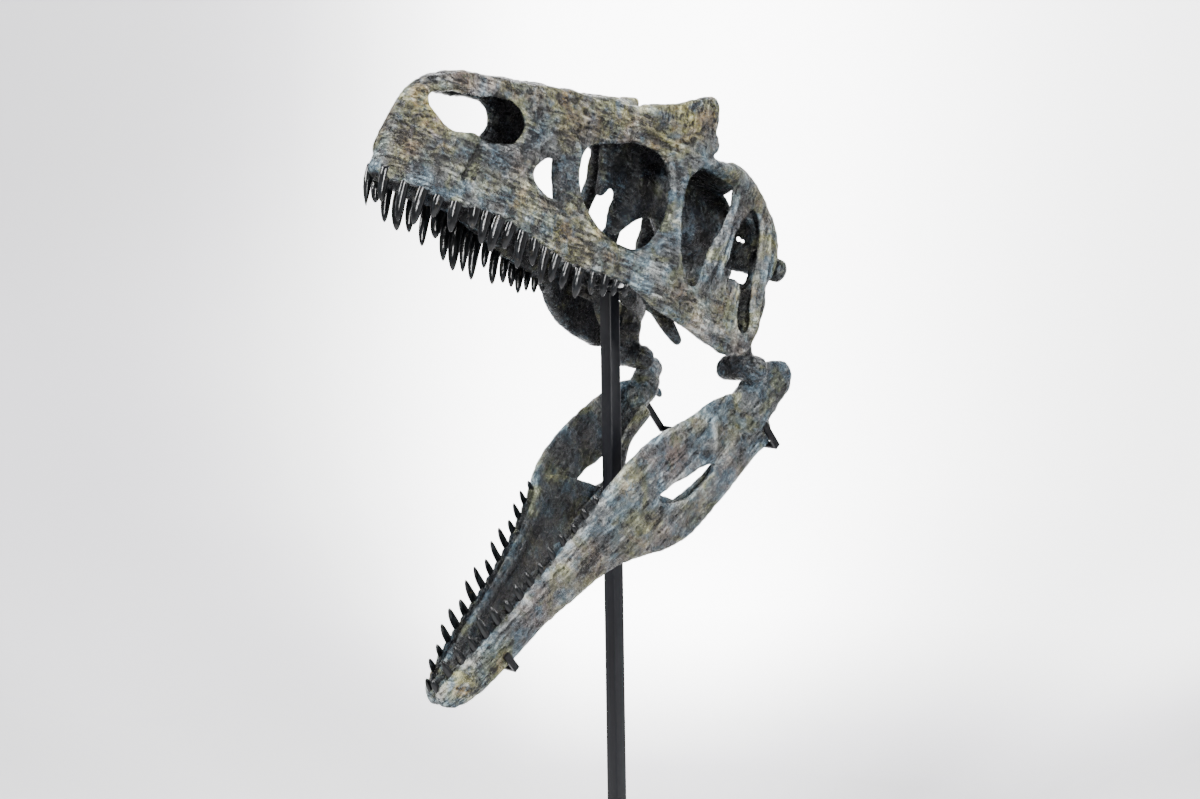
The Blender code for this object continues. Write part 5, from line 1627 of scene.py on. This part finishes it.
def backdrop_material():
    """Pale paper that glows as painted light where it stands behind the model."""
    t = Tree("pale_backdrop")
    cloud = t.noise(2.2, 2, 0.4)
    colour = t.blend(t.span(cloud, 0.3, 0.7), (0.56, 0.56, 0.575), (0.60, 0.60, 0.605))
    glow = t.attribute("glow")
    light = t.blend(t.span(glow, 0.8, 2.0), (0.96, 0.93, 1.0), (1.0, 1.0, 1.0))
    t.shade(Base_Color=colour, Roughness=0.9, Emission_Color=light, Emission_Strength=glow)
    return t.material


# ---------------------------------------------------------------- stage, light and camera

# How brightly the backdrop glows as painted light right behind the model
GLOW = 8.0
AIM = Vector((0, 0, 1.2))
AIM_PIXEL = (611, 400)
IMAGE = (1200, 799)
CAMERA_AZIMUTH = math.radians(45)
CAMERA_HEIGHT = math.radians(9)
CAMERA_ROLL = math.radians(0.9)
CAMERA_DISTANCE = 3.5
PIXELS_A_METRE = 594
BACKDROP_SIDES = 144
FLOOR_REACH = 5.2
BEND_RADIUS = 2.0
FLOOR_DROP = 0.0005
# Lights: name, azimuth and height in degrees, distance, width and height, power
SOFTBOXES = [
    ("key", 15, 40, 3.0, (0.35, 1.8), 460),
    ("top", 70, 78, 2.8, (1.6, 0.9), 110),
    ("side", 118, 22, 3.0, (0.14, 2.0), 150),
    ("front", 74, 10, 3.2, (0.25, 1.6), 230),
    ("left", -50, 25, 3.4, (0.3, 1.6), 70),
]


def build_camera():
    """The camera in front and to the left, set so that AIM falls on its pixel."""
    focal = CAMERA_DISTANCE * PIXELS_A_METRE
    ahead = -direction(CAMERA_AZIMUTH, CAMERA_HEIGHT)
    level = ahead.cross(Vector((0, 0, 1))).normalized()
    upright = level.cross(ahead)
    c, s = math.cos(CAMERA_ROLL), math.sin(CAMERA_ROLL)
    right = level * c - upright * s
    up = upright * c + level * s
    across = (AIM_PIXEL[0] - IMAGE[0] / 2) / focal
    down = (AIM_PIXEL[1] - IMAGE[1] / 2) / focal
    to_aim = (right * across - up * down + ahead).normalized()
    data = bpy.data.cameras.new("camera")
    data.sensor_width = 36
    data.lens = focal / IMAGE[0] * data.sensor_width
    camera = linked(data, "camera")
    matrix = Matrix((right, up, -ahead)).transposed().to_4x4()
    matrix.translation = AIM - CAMERA_DISTANCE * to_aim
    camera.matrix_world = matrix
    bpy.context.scene.camera = camera


def direction(azimuth, height):
    """From the aim towards a place that far round from the snout and that high, both in radians."""
    level = math.cos(height)
    return Vector((math.sin(azimuth) * level, -math.cos(azimuth) * level, math.sin(height)))


def build_backdrop():
    """A pale floor that curves up into a wall behind the model and round its sides."""
    bm = bmesh.new()
    count = BACKDROP_SIDES
    profile = [(0.4 * k, 0.0) for k in range(1, 14)]
    for k in range(1, 11):
        a = k * math.pi / 20
        profile.append((FLOOR_REACH + BEND_RADIUS * math.sin(a), BEND_RADIUS * (1 - math.cos(a))))
    profile += [(FLOOR_REACH + BEND_RADIUS, height) for height in (2.5, 3.5, 8.0)]
    centre = bm.verts.new((0, 0, -FLOOR_DROP))
    turns = [2 * math.pi * k / count for k in range(count)]
    rings = [
        [bm.verts.new((radius * math.cos(a), radius * math.sin(a), height - FLOOR_DROP)) for a in turns]
        for radius, height in profile
    ]
    for k in range(count):
        bm.faces.new((centre, rings[0][k], rings[0][(k + 1) % count]))
    for ring, following in zip(rings, rings[1:]):
        for k in range(count):
            after = (k + 1) % count
            bm.faces.new((ring[k], following[k], following[after], ring[after]))
    mesh = mesh_of(bm, "backdrop")
    x, y, z = coordinates(mesh).T
    # Painted light: the backdrop glows brightest right behind the model, fading to both sides, down to the
    # floor and most to the upper left
    turn = np.arctan2(x, -y) - (CAMERA_AZIMUTH + math.pi)
    turn = (turn + math.pi) % (2 * math.pi) - math.pi
    radius = np.hypot(x, y)
    right = smooth_step(-turn, 0.08, 0.46)
    left = smooth_step(turn, 0.02, 0.40)
    fade = 1.2 * right + 2.45 * left + 1.7 * left * smooth_step(z, 0.3, 2.0)
    fade -= 0.22 * smooth_step(5.5 - radius, 0, 3.0) * (1 - left)
    glow = GLOW * np.exp(-fade) * smooth_step(0.80 - abs(turn), 0, 0.26) * smooth_step(radius, 1.2, 3.5)
    store(mesh, "glow", glow + 0.18 * smooth_step(radius, 2.0, 6.0))
    mesh.polygons.foreach_set("use_smooth", np.ones(len(mesh.polygons), bool))
    mesh.materials.append(backdrop_material())
    linked(mesh, "backdrop")


def softbox(name, azimuth, height, distance, size, power):
    """A rectangular light aimed at AIM from an azimuth and a height in degrees."""
    data = bpy.data.lights.new(name, "AREA")
    data.shape = "RECTANGLE"
    data.size, data.size_y = size
    data.energy = power
    obj = linked(data, name)
    back = direction(math.radians(azimuth), math.radians(height))
    obj.location = AIM + back * distance
    obj.rotation_euler = (-back).to_track_quat("-Z", "Y").to_euler()


def build_lights():
    world = bpy.data.worlds.new("studio")
    world.use_nodes = True
    background = world.node_tree.nodes["Background"]
    background.inputs["Color"].default_value = (0.93, 0.95, 1.0, 1)
    background.inputs["Strength"].default_value = 0.10
    bpy.context.scene.world = world
    for light in SOFTBOXES:
        softbox(*light)


def main():
    bone = bone_material()
    enamel = enamel_material()
    steel = steel_material("post_steel", (0.0022, 0.0024, 0.0032), 0.36)
    black = steel_material("black_steel", (0.0020, 0.0020, 0.0024), 0.28)
    joint = build_cranium(cranium_place(), bone, enamel)
    build_jaw(jaw_place(), bone, enamel, joint)
    soft_post(steel)
    for name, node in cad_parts.items():
        if name.startswith("stand_"):
            node.data.materials.clear()
            node.data.materials.append(black if "cradle" in name or "crossbar" in name else steel)
    build_backdrop()
    build_camera()
    build_lights()


main()
